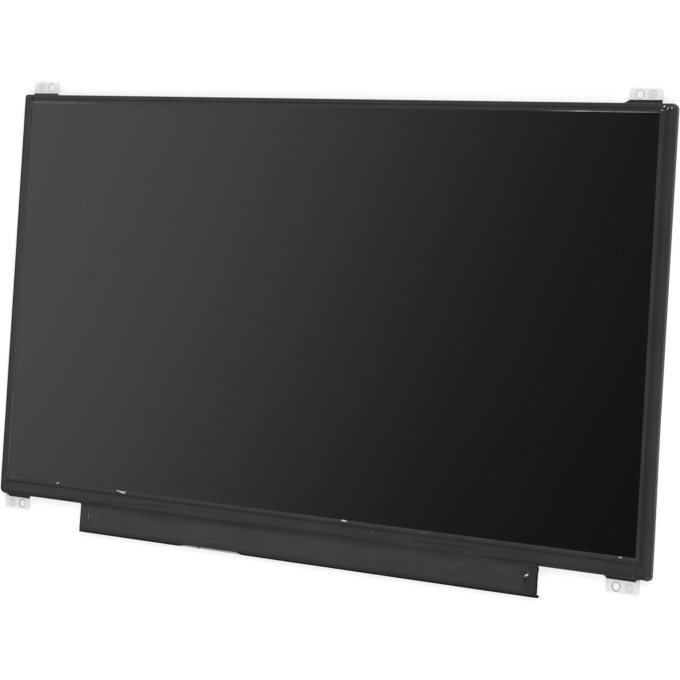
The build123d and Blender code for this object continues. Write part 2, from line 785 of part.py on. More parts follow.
# Lower film: one sheet over the lower border and the driver board
with BuildPart() as lower_cover_tape:
    add(border_wrap.part)
    plate(
        view_x0 + tape_gap, view_x1 - tape_gap, ear_bottom_tip, view_y0, z_hem, z_top, mode=Mode.INTERSECT,
    )
    plate(-flap_w / 2, flap_w / 2, out_bottom, crest_y, z_hem, z_top, mode=Mode.SUBTRACT)
    z_high = z_top - tape_t / 2
    z_low = z_flap + tape_t / 2
    bent_strip(
        [
            (crest_y, z_high), (shell_bottom, z_high),
            (land_y - tape_skin, z_low), (flap_y0, z_low),
        ],
        2 * tape_t, tape_t, -flap_w / 2, flap_w / 2,
    )
    plate(
        short_film_x0, short_film_x1, flap_y0, flap_y0 + short_film, z_flap, z_flap + tape_t, mode=Mode.SUBTRACT,
    )
lower_cover_tape.part.label = "lower_cover_tape"
export_step(lower_cover_tape.part, "parts/lower_cover_tape.step")
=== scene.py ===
"""Looks of a bare slim laptop screen panel, lying on its back with the screen up.

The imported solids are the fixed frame, in metres. The black film of the border is worked out here as thin
curved sheets that stand for the plain film solids. Every other solid stays and gets its finish.
"""

import json
import logging
import math
from collections.abc import Callable
from dataclasses import dataclass, field
from enum import Enum
from functools import reduce
from typing import Any

import bmesh
import bpy
import numpy as np
from mathutils import Euler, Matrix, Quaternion, Vector


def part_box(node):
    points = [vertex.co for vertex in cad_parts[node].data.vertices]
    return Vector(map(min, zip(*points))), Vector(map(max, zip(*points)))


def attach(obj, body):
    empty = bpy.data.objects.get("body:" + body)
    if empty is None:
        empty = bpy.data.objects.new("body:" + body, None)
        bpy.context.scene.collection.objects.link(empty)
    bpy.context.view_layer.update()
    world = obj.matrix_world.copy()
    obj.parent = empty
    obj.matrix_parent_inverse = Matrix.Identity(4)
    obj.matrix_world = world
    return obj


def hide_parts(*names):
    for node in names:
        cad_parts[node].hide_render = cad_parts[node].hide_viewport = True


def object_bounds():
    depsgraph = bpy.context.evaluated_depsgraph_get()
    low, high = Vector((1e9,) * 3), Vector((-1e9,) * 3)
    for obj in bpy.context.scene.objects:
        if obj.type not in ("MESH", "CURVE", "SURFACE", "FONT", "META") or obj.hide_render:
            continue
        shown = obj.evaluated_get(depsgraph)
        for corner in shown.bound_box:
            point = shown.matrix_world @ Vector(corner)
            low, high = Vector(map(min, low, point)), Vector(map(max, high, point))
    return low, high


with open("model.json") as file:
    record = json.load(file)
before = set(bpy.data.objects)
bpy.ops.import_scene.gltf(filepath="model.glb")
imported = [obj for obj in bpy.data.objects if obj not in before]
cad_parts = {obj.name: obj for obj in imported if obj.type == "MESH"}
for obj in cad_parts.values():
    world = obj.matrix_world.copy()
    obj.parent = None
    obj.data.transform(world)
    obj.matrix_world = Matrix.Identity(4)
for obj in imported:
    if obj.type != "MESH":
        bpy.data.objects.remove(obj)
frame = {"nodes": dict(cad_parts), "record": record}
CAD_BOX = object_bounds()

MM = 0.001
LOG = logging.getLogger("screen_panel")

Array = np.ndarray
Pair = tuple[float, float]
Triple = tuple[float, float, float]


def smooth_step(value: Array, low: float | Array, high: float | Array) -> Array:
    """Rises from 0 at low to 1 at high as 3t^2 - 2t^3; where high lies below low, it falls instead."""
    share = np.clip((value - low) / (high - low), 0.0, 1.0)
    return share * share * (3.0 - 2.0 * share)


@dataclass(frozen=True)
class Ramp:
    """An amount that sets in from start and is whole at full, which may lie below start."""

    amount: float
    start: float
    full: float

    def at(self, place: Array) -> Array:
        """The amount times a smooth step from start to full."""
        return self.amount * smooth_step(place, self.start, self.full)


@dataclass(frozen=True)
class Span:
    """A stretch with soft ends: it sets in from start to full, and fades from fade to end."""

    start: float
    full: float
    fade: float
    end: float

    def at(self, place: Array) -> Array:
        """A smooth step up from start to full, times a smooth step down from fade to end."""
        return smooth_step(place, self.start, self.full) * smooth_step(place, self.end, self.fade)


def toned(colour: Triple, share: float) -> Triple:
    """The colour times a share."""
    return tuple(share * part for part in colour)


def operator(operation: str, swapped: bool = False) -> "Callable[[Wire, Wire | float], Wire]":
    """Makes an operator of wires that adds one Math node.

    Args:
        operation: Blender's name for the operation.
        swapped: Whether the wire stands on the right of the sign.

    Returns:
        The operator.
    """
    def combine(wire: "Wire", other: "Wire | float") -> "Wire":
        """Adds the node on the two terms."""
        terms = (other, wire) if swapped else (wire, other)
        return wire.paint.node("Math", {"operation": operation}, dict(enumerate(terms)))

    return combine


class Wire:
    """An output of a shader node that takes part in Python arithmetic."""

    def __init__(self, paint: "Paint", socket: bpy.types.NodeSocket) -> None:
        """Keeps the socket and the tree it belongs to."""
        self.paint = paint
        self.socket = socket

    __add__, __radd__ = operator("ADD"), operator("ADD", swapped=True)
    __sub__, __rsub__ = operator("SUBTRACT"), operator("SUBTRACT", swapped=True)
    __mul__, __rmul__ = operator("MULTIPLY"), operator("MULTIPLY", swapped=True)
    __pow__, __rpow__ = operator("POWER"), operator("POWER", swapped=True)
    larger = operator("MAXIMUM")

    def __abs__(self) -> "Wire":
        """Size without its sign."""
        return self.paint.node("Math", {"operation": "ABSOLUTE"}, {0: self})

    def rise(self, low: float, high: float) -> "Wire":
        """Smooth share of the way from low to high, held at 0 and 1 outside."""
        limits = {"Value": self, "From Min": low, "From Max": high}
        return self.paint.node("MapRange", {"interpolation_type": "SMOOTHSTEP"}, limits)


class Paint:
    """The nodes of one material, or of the surround."""

    def __init__(self, owner: bpy.types.Material | bpy.types.World) -> None:
        """Starts an empty tree with its output node.

        Args:
            owner: The material or world whose tree it is.
        """
        owner.use_nodes = True
        self.owner = owner
        self.tree = owner.node_tree
        self.tree.nodes.clear()
        world = isinstance(owner, bpy.types.World)
        self.output = self.tree.nodes.new("ShaderNodeOutputWorld" if world else "ShaderNodeOutputMaterial")

    @classmethod
    def named(cls, name: str) -> "Paint":
        """Starts a new material of that name."""
        return cls(bpy.data.materials.new(name))

    def node(
        self, kind: str, settings: dict[str, Any] | None = None,
        sockets: dict[str | int, Any] | None = None, out: str | int = 0,
    ) -> Wire:
        """Adds a node.

        Args:
            kind: Type of the node, without the ShaderNode in front of Blender's name for it.
            settings: Properties of the node, set first; stops gives the places and colours of a ramp.
            sockets: A value or a Wire for each named or numbered input.
            out: Which output is wanted.

        Returns:
            The wanted output.
        """
        made = self.tree.nodes.new("ShaderNode" + kind)
        for key, value in (settings or {}).items():
            if key == "stops":
                for element, (place, colour) in zip(made.color_ramp.elements, value):
                    element.position = place
                    element.color = (*colour, 1.0)
            else:
                setattr(made, key, value)
        for key, value in (sockets or {}).items():
            if isinstance(value, Wire):
                self.tree.links.new(value.socket, made.inputs[key])
            else:
                made.inputs[key].default_value = value
        return Wire(self, made.outputs[out])

    def place(self, scale: Triple = (1.0, 1.0, 1.0), turn: float = 0.0) -> Wire:
        """Object coordinates in metres, stretched along each axis and turned about Z by so many radians."""
        point = self.node("TexCoord", out="Object")
        return self.node("Mapping", None, {"Vector": point, "Scale": scale, "Rotation": (0.0, 0.0, turn)})

    def axis(self, vector: Wire, which: str) -> Wire:
        """One part, X, Y or Z, of a vector."""
        return self.node("SeparateXYZ", None, {0: vector}, which)

    def noise(self, vector: Wire, size: float, detail: float = 3.0, rough: float = 0.55) -> Wire:
        """Noise from 0 to 1 in clouds of this size, with so many finer layers, each of the weight rough."""
        sockets = {"Vector": vector, "Scale": 1.0 / size, "Detail": detail, "Roughness": rough}
        return self.node("TexNoise", {"noise_dimensions": "3D"}, sockets)

    def specks(self, vector: Wire, spacing: float, radius: float) -> Wire:
        """Round specks scattered about one spacing apart: 1 inside half the radius and 0 outside it."""
        near = self.node("TexVoronoi", None, {"Vector": vector, "Scale": 1.0 / spacing}, "Distance")
        return near.rise(radius / spacing, 0.5 * radius / spacing)

    def oval(self, mark: "Mark") -> Wire:
        """Soft mask of a mark: its strength in the core, and 0 outside its oval.

        Args:
            mark: The mark.

        Returns:
            The mask.
        """
        frame_of_mark = {
            "Vector": self.node("TexCoord", out="Object"),
            "Location": (mark.x * MM, mark.y * MM, 0.0),
            "Rotation": (0.0, 0.0, math.radians(mark.turn)),
            "Scale": (mark.long * MM, mark.wide * MM, 1.0),
        }
        near = self.node("Mapping", {"vector_type": "TEXTURE"}, frame_of_mark)
        away = self.node("VectorMath", {"operation": "LENGTH"}, {0: near}, "Value")
        return away.rise(1.0, mark.core) * mark.strength

    def ovals(self, marks: "tuple[Mark, ...]") -> Wire:
        """Mask of several marks, the strongest of them at each place."""
        return reduce(Wire.larger, map(self.oval, marks))

    def mix(self, share: Wire | float, low: Wire | Triple, high: Wire | Triple) -> Wire:
        """Colour that goes from low, where share is 0, to high, where it is 1."""
        ends = [end if isinstance(end, Wire) else (*end, 1.0) for end in (low, high)]
        return self.node("Mix", {"data_type": "RGBA"}, {0: share, 6: ends[0], 7: ends[1]}, 2)

    def bump(self, height: Wire, depth: float, strength: float) -> Wire:
        """Normal that follows a height, given as a share of a depth in metres."""
        return self.node("Bump", None, {"Strength": strength, "Distance": depth, "Height": height})

    def end(self, shader: Wire) -> bpy.types.Material | bpy.types.World:
        """Ends the tree in this shader and gives back the material or world."""
        self.tree.links.new(shader.socket, self.output.inputs["Surface"])
        return self.owner

    def surface(self, **sockets: Any) -> bpy.types.Material:
        """Ends the material in a Principled shader with these sockets, named with _ for a space."""
        named = {key.replace("_", " "): value for key, value in sockets.items()}
        return self.end(self.node("BsdfPrincipled", None, named))


@dataclass(frozen=True)
class Mark:
    """A small mark on a surface, an oval in plan.

    Attributes:
        x: Place along X, in millimetres.
        y: Place along Y, in millimetres.
        long: Half length, in millimetres.
        wide: Half width, in millimetres.
        turn: Turn of its length from X, in degrees.
        strength: How strongly it shows, from 0 to 1.
        core: Share of the oval that shows at full strength.
    """

    x: float
    y: float
    long: float
    wide: float
    turn: float = 0.0
    strength: float = 0.9
    core: float = 0.45


@dataclass(frozen=True)
class BlackFilm:
    """Matt black film tape: fine grain, handling marks, a paler flap, a pale cut edge with a painted
    highlight, painted glints and painted shade.

    Attributes:
        name: Name of the material.
        tone: Colour of the film.
        cut: Colour of its cut edge, also used for the highlight painted along it.
        scuff: Colour of rubbed film and dust, and of the paler flap.
        glint: Colour of the painted highlights.
        shadow: Colour of edges and creases that lie in shade.
        roughness: How matt it is.
        cloud: Size of its cloudy patches.
        grain: Size of its grain.
        line: Width of the lines from drawing the film.
        line_stretch: Stretch of those lines along each axis.
        edge_gap_size: Size of the gaps in the pale cut edge and its painted highlight.
        glint_breakup: Size of the gaps in the painted highlights.
        wave: Size of its shallow waves.
        dust_spacing: Distance between specks of dust.
        dust: Radius of a speck.
        relief: Depth of grain, waves and lines together.
        paler_flap: Where along Y the paler film of the flap starts, and where it is full.
        glints: Painted highlights: white glints on wrinkles, creases and lifted tape edges.
        shade_blots: Painted shade: dark blots round some of the glints.
    """

    name: str = "black_film"
    tone: Triple = (0.0222, 0.0220, 0.0218)
    cut: Triple = (0.46, 0.44, 0.40)
    scuff: Triple = (0.070, 0.068, 0.066)
    chip: Triple = (0.86, 0.85, 0.83)
    shadow: Triple = (0.009, 0.009, 0.009)
    roughness: float = 0.54
    cloud: float = 22 * MM
    grain: float = 0.35 * MM
    line: float = 1.6 * MM
    line_stretch: Triple = (0.12, 1.0, 1.0)
    edge_gap_size: float = 3.0 * MM
    glint_breakup: float = 0.8 * MM
    wave: float = 4.0 * MM
    dust_spacing: float = 7.5 * MM
    dust: float = 0.16 * MM
    relief: float = 0.02 * MM
    paler_flap: Pair = (-90 * MM, -94 * MM)
    # Painted highlights: white glints on the wrinkles at the upper right corner, on the flap's creases and
    # along the tape's inner edge.
    glints: tuple[Mark, ...] = (
        Mark(-120.7, -83.75, 0.75, 0.38, 10.0),
        Mark(-88.0, -83.75, 1.6, 0.28, -14.0),
        Mark(-86.0, -84.05, 1.9, 0.42, -10.0),
        Mark(-84.9, -83.75, 1.0, 0.25, 8.0, 0.6),
        Mark(23.0, -83.70, 1.7, 0.38, -4.0),
        Mark(58.8, -84.30, 1.2, 0.30, 0.0, 0.10),
        Mark(36.1, -86.70, 0.7, 0.60, 30.0, 0.06),
        Mark(72.0, -85.60, 0.6, 0.60, 0.0, 0.05),
        Mark(141.5, -83.75, 1.0, 0.32, 0.0, 0.50),
        Mark(-143.9, -83.75, 4.6, 0.30, 3.0, 0.05),
        Mark(-146.2, -83.80, 0.7, 0.35, 20.0, 0.08),
        Mark(148.4, 85.80, 0.75, 0.28, 35.0),
        Mark(149.7, 85.05, 0.95, 0.26, 48.0),
        Mark(147.5, 84.40, 0.60, 0.24, 10.0, 0.6),
        Mark(151.3, 85.35, 0.55, 0.28, -60.0, 0.7),
        Mark(103.7, -95.35, 1.15, 0.42, 35.0, 1.0),
        Mark(-103.6, -96.3, 2.0, 0.18, 86.0, 0.42),
        Mark(-102.3, -96.0, 1.9, 0.16, 90.0, 0.13),
        Mark(-101.4, -97.8, 1.6, 0.16, 80.0, 0.13),
        Mark(116.0, 83.60, 5.0, 0.30, 0.0, 0.35),
    )
    # Painted shade: dark blots in the wrinkles round some of the glints.
    shade_blots: tuple[Mark, ...] = (
        Mark(148.9, 85.45, 0.95, 0.30, 42.0, 0.8),
        Mark(147.9, 84.95, 0.70, 0.30, 20.0, 0.7),
        Mark(150.6, 85.35, 0.60, 0.35, -60.0, 0.7),
        Mark(-121.9, -83.95, 0.70, 0.35, 20.0, 0.6),
        Mark(-119.6, -84.10, 0.80, 0.30, -10.0, 0.5),
    )

    def material(self) -> bpy.types.Material:
        """Makes the material.

        Returns:
            The material, which reads the attributes cut_edge (pale cut edge with painted highlight) and shade
            of a film piece.
        """
        paint = Paint.named(self.name)
        point = paint.place()
        cloud = paint.noise(point, self.cloud, 4.0)
        grain = paint.noise(point, self.grain, 2.0)
        drawn = paint.noise(paint.place(self.line_stretch), self.line)
        marks = drawn.rise(0.66, 0.80) * cloud.rise(0.45, 0.70)
        dust = paint.specks(point, self.dust_spacing, self.dust) * cloud.rise(0.50, 0.62)
        # Paler film towards the flap.
        paler_flap = paint.axis(point, "Y").rise(*self.paler_flap)
        edge = paint.node("Attribute", {"attribute_name": "cut_edge"}, None, "Fac")
        shade = paint.node("Attribute", {"attribute_name": "shade"}, None, "Fac")
        # Pale cut edge, broken up by noise; it also paints the highlight along the tape's inner edge.
        edge_glint = edge * paint.noise(point, self.edge_gap_size).rise(0.25, 0.60)
        # Painted highlights: white glints, broken up by noise.
        glint_mask = paint.ovals(self.glints) * paint.noise(point, self.glint_breakup, 2.0).rise(0.22, 0.48)
        base = paint.mix(cloud.rise(0.30, 0.70), toned(self.tone, 0.84), toned(self.tone, 1.16))
        base = paint.mix(marks * 0.30 + dust * 0.7 + paler_flap * 0.20, base, self.scuff)
        base = paint.mix(edge_glint, base, self.cut)
        base = paint.mix(glint_mask, base, self.chip)
        rough = self.roughness - 0.05 + 0.10 * cloud + 0.08 * marks
        relief = grain * 0.4 + paint.noise(point, self.wave, 2.0) * 1.2 + drawn * 0.3
        film = {"Base Color": base, "Roughness": rough, "Normal": paint.bump(relief, self.relief, 0.5)}
        gloss = paint.node("BsdfPrincipled", None, film)
        # Painted shade: a dull dark shader mixed in by the shade attribute and the dark blots, but not on the
        # glints.
        dull = paint.node("BsdfDiffuse", None, {"Color": (*self.shadow, 1.0)})
        dim = shade.larger(paint.ovals(self.shade_blots)) * (1 - glint_mask) * grain.rise(0.05, 0.45)
        return paint.end(paint.node("MixShader", None, {0: dim, 1: gloss, 2: dull}))


@dataclass(frozen=True)
class ScreenFace:
    """Dark anti-glare face of the screen: nearly black, with a fine frosting that spreads reflections.

    Attributes:
        name: Name of the material.
        tone: Colour of the face.
        dust_tone: Colour of dust on it.
        roughness: How matt it is.
        haze: Size of its cloudy patches.
        frost: Size of the frosting.
        frost_depth: Depth of the frosting.
        wipe: Width of the marks of wiping.
        wipe_stretch: Stretch of those marks along each axis.
        wipe_turn: Turn of those marks, in radians.
        dust_spacing: Distance between specks of dust.
        dust: Radius of a speck.
    """

    name: str = "screen_face"
    tone: Triple = (0.0006, 0.0006, 0.0006)
    dust_tone: Triple = (0.05, 0.05, 0.05)
    roughness: float = 0.305
    haze: float = 70 * MM
    frost: float = 0.12 * MM
    frost_depth: float = 0.004 * MM
    wipe: float = 14 * MM
    wipe_stretch: Triple = (1.0, 0.2, 1.0)
    wipe_turn: float = 0.5
    dust_spacing: float = 16 * MM
    dust: float = 0.12 * MM

    def material(self) -> bpy.types.Material:
        """Makes the material.

        Returns:
            The material.
        """
        paint = Paint.named(self.name)
        point = paint.place()
        haze = paint.noise(point, self.haze)
        frost = paint.noise(point, self.frost, 1.0)
        wiped = paint.noise(paint.place(self.wipe_stretch, self.wipe_turn), self.wipe)
        dust = paint.specks(point, self.dust_spacing, self.dust) * haze.rise(0.50, 0.60)
        base = paint.mix(haze.rise(0.30, 0.70), toned(self.tone, 0.85), self.tone)
        base = paint.mix(dust * 0.4, base, self.dust_tone)
        rough = self.roughness - 0.01 + 0.014 * haze + 0.006 * wiped
        normal = paint.bump(frost, self.frost_depth, 0.2)
        return paint.surface(Base_Color=base, Roughness=rough, Normal=normal)


@dataclass(frozen=True)
class StampedSheet:
    """Bare stamped sheet metal with the fine lines of rolling, painted shade round pressed holes and in
    dimples, and painted light and shade: paler above rear_z than below it.

    Attributes:
        name: Name of the material.
        tone: Colour of the metal.
        metallic: Share of bare metal in its gloss.
        roughness: How matt it is.
        rear: Colour below rear_z, darker than the ears of the same sheet: painted shade of its lower faces.
        rear_z: Height below which the rear field counts, in metres.
        rows: Middle x, y and spacing of each row of two holes, in metres.
        hole: Radius of the holes.
        ring: Outer and inner edge of a hole's soft ring of painted shade, as shares of the radius.
        ring_strengths: Strength of the rings above and below the screen.
        ring_tone: Colour of the painted shade in the rings.
        dimple_step: Distance outwards from a hole to its dimple.
        dimple: Radius of a dimple.
        dimple_tone: Colour of the painted shade in a dimple.
        rolling: Width of the lines of rolling.
        rolling_stretch: Stretch of those lines along each axis.
        rolling_depth: Depth of those lines.
        cloud: Size of its cloudy patches.
    """

    name: str
    tone: Triple
    metallic: float
    roughness: float = 0.50
    rear: Triple = (0.60, 0.61, 0.62)
    rear_z: float = 0.0
    rows: tuple[Triple, ...] = ()
    hole: float = 0.0
    ring: Pair = (1.40, 1.22)
    ring_strengths: Pair = (0.45, 0.75)
    ring_tone: Triple = (0.26, 0.255, 0.25)
    dimple_step: float = 5.2 * MM
    dimple: float = 1.65 * MM
    dimple_tone: Triple = (0.36, 0.355, 0.35)
    rolling: float = 0.35 * MM
    rolling_stretch: Triple = (0.03, 1.0, 1.0)
    rolling_depth: float = 0.01 * MM
    cloud: float = 9 * MM

    def material(self) -> bpy.types.Material:
        """Makes the material, with a ring of painted shade and a dimple in painted shade, darkest at its rim,
        at every hole of the rows.

        Returns:
            The material.
        """
        paint = Paint.named(self.name)
        point = paint.place()
        rolled = paint.noise(paint.place(self.rolling_stretch), self.rolling)
        cloud = paint.noise(point, self.cloud)
        streaks = rolled.rise(0.25, 0.75)
        base = paint.mix(streaks * 0.6 + cloud * 0.4, toned(self.tone, 0.92), self.tone)
        # Painted light and shade: the sheet is paler on its ears and darker below rear_z.
        if self.rear_z > 0:
            dull = paint.mix(streaks, toned(self.rear, 0.86), self.rear)
            base = paint.mix(paint.axis(point, "Z").rise(self.rear_z, 0.7 * self.rear_z), base, dull)
        for middle, row, spread in self.rows:
            across = abs(paint.axis(point, "X") - middle) - spread / 2
            along = paint.axis(point, "Y") - row
            outboard = across - self.dimple_step
            from_hole = (across * across + along * along) ** 0.5
            from_dimple = (outboard * outboard + along * along) ** 0.5
            # Painted shade: a dark ring round each hole and a darker dimple, darkest at its rim.
            ring = from_hole.rise(*(share * self.hole for share in self.ring))
            base = paint.mix(ring * self.ring_strengths[0 if row > 0 else 1], base, self.ring_tone)
            pressed = 0.16 + 0.22 * from_dimple.rise(0.7 * self.dimple, self.dimple)
            pressed = from_dimple.rise(1.12 * self.dimple, self.dimple) * pressed
            base = paint.mix(pressed, base, self.dimple_tone)
        rough = self.roughness - 0.08 + 0.16 * cloud
        normal = paint.bump(rolled, self.rolling_depth, 0.4)
        return paint.surface(Base_Color=base, Roughness=rough, Metallic=self.metallic, Normal=normal)


@dataclass(frozen=True)
class Moulding:
    """Moulded or pressed plain material: soft cloudy tone, a fine skin and small specks.

    Attributes:
        name: Name of the material.
        tone: Colour.
        roughness: How matt it is.
        contrast: How much darker its dark patches are.
        skin: Size of the skin's grain.
        depth: Depth of the skin's grain.
        cloud: Size of its cloudy patches.
        speck_spacing: Distance between specks.
        speck: Radius of a speck.
    """

    name: str
    tone: Triple
    roughness: float
    contrast: float = 0.15
    skin: float = 0.25 * MM
    depth: float = 0.01 * MM
    cloud: float = 6 * MM
    speck_spacing: float = 2.4 * MM
    speck: float = 0.12 * MM

    def material(self) -> bpy.types.Material:
        """Makes the material.

        Returns:
            The material.
        """
        paint = Paint.named(self.name)
        point = paint.place()
        cloud = paint.noise(point, self.cloud)
        skin = paint.noise(point, self.skin, 2.0)
        speck = paint.specks(point, self.speck_spacing, self.speck)
        patches = cloud.rise(0.3, 0.7) * 0.7 + skin * 0.3
        base = paint.mix(patches, toned(self.tone, 1 - self.contrast), self.tone)
        base = paint.mix(speck * 0.5, base, toned(self.tone, 0.6))
        rough = self.roughness - 0.05 + 0.10 * cloud
        return paint.surface(Base_Color=base, Roughness=rough, Normal=paint.bump(skin, self.depth, 0.5))


@dataclass(frozen=True)
class Laminate:
    """Driver board: dark green mask over fine copper lines, and a bare pale margin along its lower edge.

    Attributes:
        name: Name of the material.
        edge_y: Lower edge of the board.
        mask: Colour of the mask.
        line: Colour of the mask over copper.
        bare: Colour of the bare margin.
        margin: Width of the bare margin.
        tooling_x: Place of a dark tooling mark on that margin, in millimetres.
        tooling: Half length and half width of that mark, in millimetres.
        line_run: Length of a copper line.
        line_pitch: Distance between lines.
        line_gap: Width of the gap between lines.
        line_depth: Height of the lines.
        patch: Size of the patches that have lines.
        ragged: Size of the gaps in the bare margin.
    """

    name: str
    edge_y: float
    mask: Triple = (0.012, 0.055, 0.028)
    line: Triple = (0.030, 0.115, 0.055)
    bare: Triple = (0.42, 0.41, 0.39)
    margin: float = 1.0 * MM
    tooling_x: float = -46.3
    tooling: Pair = (1.0, 1.4)
    line_run: float = 5.5 * MM
    line_pitch: float = 0.45 * MM
    line_gap: float = 0.10 * MM
    line_depth: float = 0.02 * MM
    patch: float = 8 * MM
    ragged: float = 2 * MM

    def material(self) -> bpy.types.Material:
        """Makes the material.

        Returns:
            The material.
        """
        paint = Paint.named(self.name)
        point = paint.place()
        rows = {
            "Vector": point, "Scale": 1.0, "Mortar Size": self.line_gap,
            "Brick Width": self.line_run, "Row Height": self.line_pitch,
        }
        gaps = paint.node("TexBrick", None, rows, "Fac")
        patch = paint.noise(point, self.patch, 2.0)
        copper = (1 - gaps) * patch.rise(0.45, 0.55)
        base = paint.mix(copper, self.mask, self.line)
        margin = paint.axis(point, "Y").rise(self.edge_y + self.margin, self.edge_y + 0.9 * self.margin)
        base = paint.mix(margin * paint.noise(point, self.ragged).rise(0.10, 0.35), base, self.bare)
        spot = Mark(self.tooling_x, self.edge_y / MM, *self.tooling)
        base = paint.mix(paint.oval(spot), base, self.mask)
        rough = 0.38 + 0.15 * patch
        normal = paint.bump(copper, self.line_depth, 0.6)
        return paint.surface(Base_Color=base, Roughness=rough, Normal=normal)


class EdgeForm(Enum):
    """What a stretch of film does beyond the rim of the border."""

    HEM = "turns down the side and under the rear margin"
    LIP = "turns out over the root of an ear"


@dataclass(frozen=True)
class Path:
    """A stretch of the outline in plan, walked clockwise.

    Attributes:
        outer: Points on the outline.
        normal: Outward direction at each point.
        inner: The point on the inner cut edge that each outline point is joined to.
    """

    outer: Array
    normal: Array
    inner: Array

    def part(self, first: int, last: int) -> "Path":
        """The points from first to last, both included."""
        span = slice(first, last + 1)
        return Path(self.outer[span], self.normal[span], self.inner[span])


def rows_of(*columns: Array | float) -> Array:
    """One row for each point, from columns that are each an array or one number for all the points."""
    return np.stack(np.broadcast_arrays(*columns), axis=-1)


@dataclass(frozen=True)
class Ripple:
    """Soft unevenness of a film: a sum of seeded sine waves in many directions.

    Attributes:
        seed: Start of the random numbers.
        shortest: Shortest wave, in metres.
        longest: Longest wave, in metres.
        count: Number of waves.
    """

    seed: int
    shortest: float
    longest: float
    count: int = 28

    def height(self, x: Array, y: Array, stretch: float = 1.0) -> Array:
        """Adds up sin(2 pi (x cos a + y sin a) / wave + phase) and divides by the root of the count.

        Args:
            x: Places along X, in metres.
            y: Places along Y, in metres.
            stretch: How much longer the waves are along X than along Y.

        Returns:
            Heights of about -1 to 1.
        """
        dice = np.random.default_rng(self.seed)
        turn = dice.uniform(0, 2 * math.pi, self.count)
        phase = dice.uniform(0, 2 * math.pi, self.count)
        wave = np.exp(dice.uniform(math.log(self.shortest), math.log(self.longest), self.count))
        pitch = 2 * math.pi / wave
        along = np.multiply.outer(x, np.cos(turn) * pitch / stretch)
        across = np.multiply.outer(y, np.sin(turn) * pitch)
        return np.sin(along + across + phase).sum(axis=-1) / math.sqrt(self.count)


@dataclass(frozen=True)
class Folds:
    """Creases of a film, each a low ridge along a straight line in plan.

    Attributes:
        lines: Start x, start y, end x, end y, half width and height of each crease, in millimetres.
    """

    lines: tuple[tuple[float, ...], ...]

    def height(self, x: Array, y: Array) -> Array:
        """Adds up height times exp(-(distance to the line / half width)^2) over the creases.

        Args:
            x: Places along X, in metres.
            y: Places along Y, in metres.

        Returns:
            Heights in metres.
        """
        x0, y0, x1, y1, half, high = np.array(self.lines).T * MM
        from_x = x[..., None] - x0
        from_y = y[..., None] - y0
        run = (x1 - x0) ** 2 + (y1 - y0) ** 2
        share = np.clip((from_x * (x1 - x0) + from_y * (y1 - y0)) / run, 0, 1)
        away = (from_x - share * (x1 - x0)) ** 2 + (from_y - share * (y1 - y0)) ** 2
        return (high * np.exp(-away / half**2)).sum(axis=-1)


def grid_faces(rows: int, columns: int, start: int = 0) -> Array:
    """Numbers the corners of every quad of a grid: row i, column j with the next row and column.

    Args:
        rows: Number of rows.
        columns: Number of columns.
        start: Number of the grid's first point.

    Returns:
        Four point numbers for each quad, running so that the outer side faces out.
    """
    number = start + np.arange(rows * columns).reshape(rows, columns)
    corners = (number[:-1, :-1], number[1:, :-1], number[1:, 1:], number[:-1, 1:])
    return np.stack(corners, axis=-1).reshape(-1, 4)


def new_piece(name: str, points: Array, faces: Array) -> bpy.types.Object:
    """Makes a smooth mesh object at the origin and links it to the scene.

    Args:
        name: Name of the piece.
        points: Places of its points, one row each.
        faces: Point numbers of its quads, one row each.

    Returns:
        The object.
    """
    mesh = bpy.data.meshes.new(name)
    mesh.from_pydata(points.tolist(), [], faces.tolist())
    mesh.shade_smooth()
    piece = bpy.data.objects.new(name, mesh)
    bpy.context.scene.collection.objects.link(piece)
    return piece


@dataclass
class Patch:
    """One grid of film points, rows along the outline by columns outwards.

    Attributes:
        points: Places, rows by columns by three.
        cut_edge: Share of the pale cut edge, with the highlight painted along it, at each point.
        shade: Share of shade, in dark lines and edges, at each point.
    """

    points: Array
    cut_edge: Array
    shade: Array

    def flipped(self) -> "Patch":
        """The same grid walked the other way."""
        return Patch(self.points[::-1], self.cut_edge[::-1], self.shade[::-1])


@dataclass
class FilmSheet:
    """Patches that are joined along shared borders into one thin film.

    Attributes:
        name: Name of the piece.
        thickness: Thickness of the film, in metres.
        weld: Distance within which points of two patches are joined.
        patches: The patches.
    """

    name: str
    thickness: float
    weld: float = 0.002 * MM
    patches: list[Patch] = field(default_factory=list)

    def build(self) -> bpy.types.Object:
        """Makes the mesh, welds the shared borders and gives the film its thickness inwards.

        Returns:
            The piece, linked to the scene.
        """
        starts = np.cumsum([0] + [patch.shade.size for patch in self.patches])
        points = np.concatenate([patch.points.reshape(-1, 3) for patch in self.patches])
        faces = [grid_faces(*patch.shade.shape, start) for patch, start in zip(self.patches, starts)]
        piece = new_piece(self.name, points, np.concatenate(faces))
        mesh = piece.data
        for name in ("cut_edge", "shade"):
            values = np.concatenate([getattr(patch, name).ravel() for patch in self.patches])
            layer = mesh.attributes.new(name, "FLOAT", "POINT")
            layer.data.foreach_set("value", values.astype(np.float32))
        work = bmesh.new()
        work.from_mesh(mesh)
        bmesh.ops.remove_doubles(work, verts=work.verts, dist=self.weld)
        work.to_mesh(mesh)
        work.free()
        wall = piece.modifiers.new("film thickness", "SOLIDIFY")
        wall.thickness = self.thickness
        wall.offset = -1.0
        return piece


@dataclass(frozen=True)
class LipForm:
    """How the film runs out on one ear.

    Attributes:
        root: How far the lip goes past the ear's inner end where it leaves the border.
        tip: How far it goes past that end at its outer edge; below 0 it stops short of it.
        reach: How far it stands out.
        seam: How far the side strip stands out on the ear at the seam.
        end: How far the side strip stands out at the ear's outer end.
    """

    root: float
    tip: float
    reach: float
    seam: float = 0.0
    end: float = 0.0


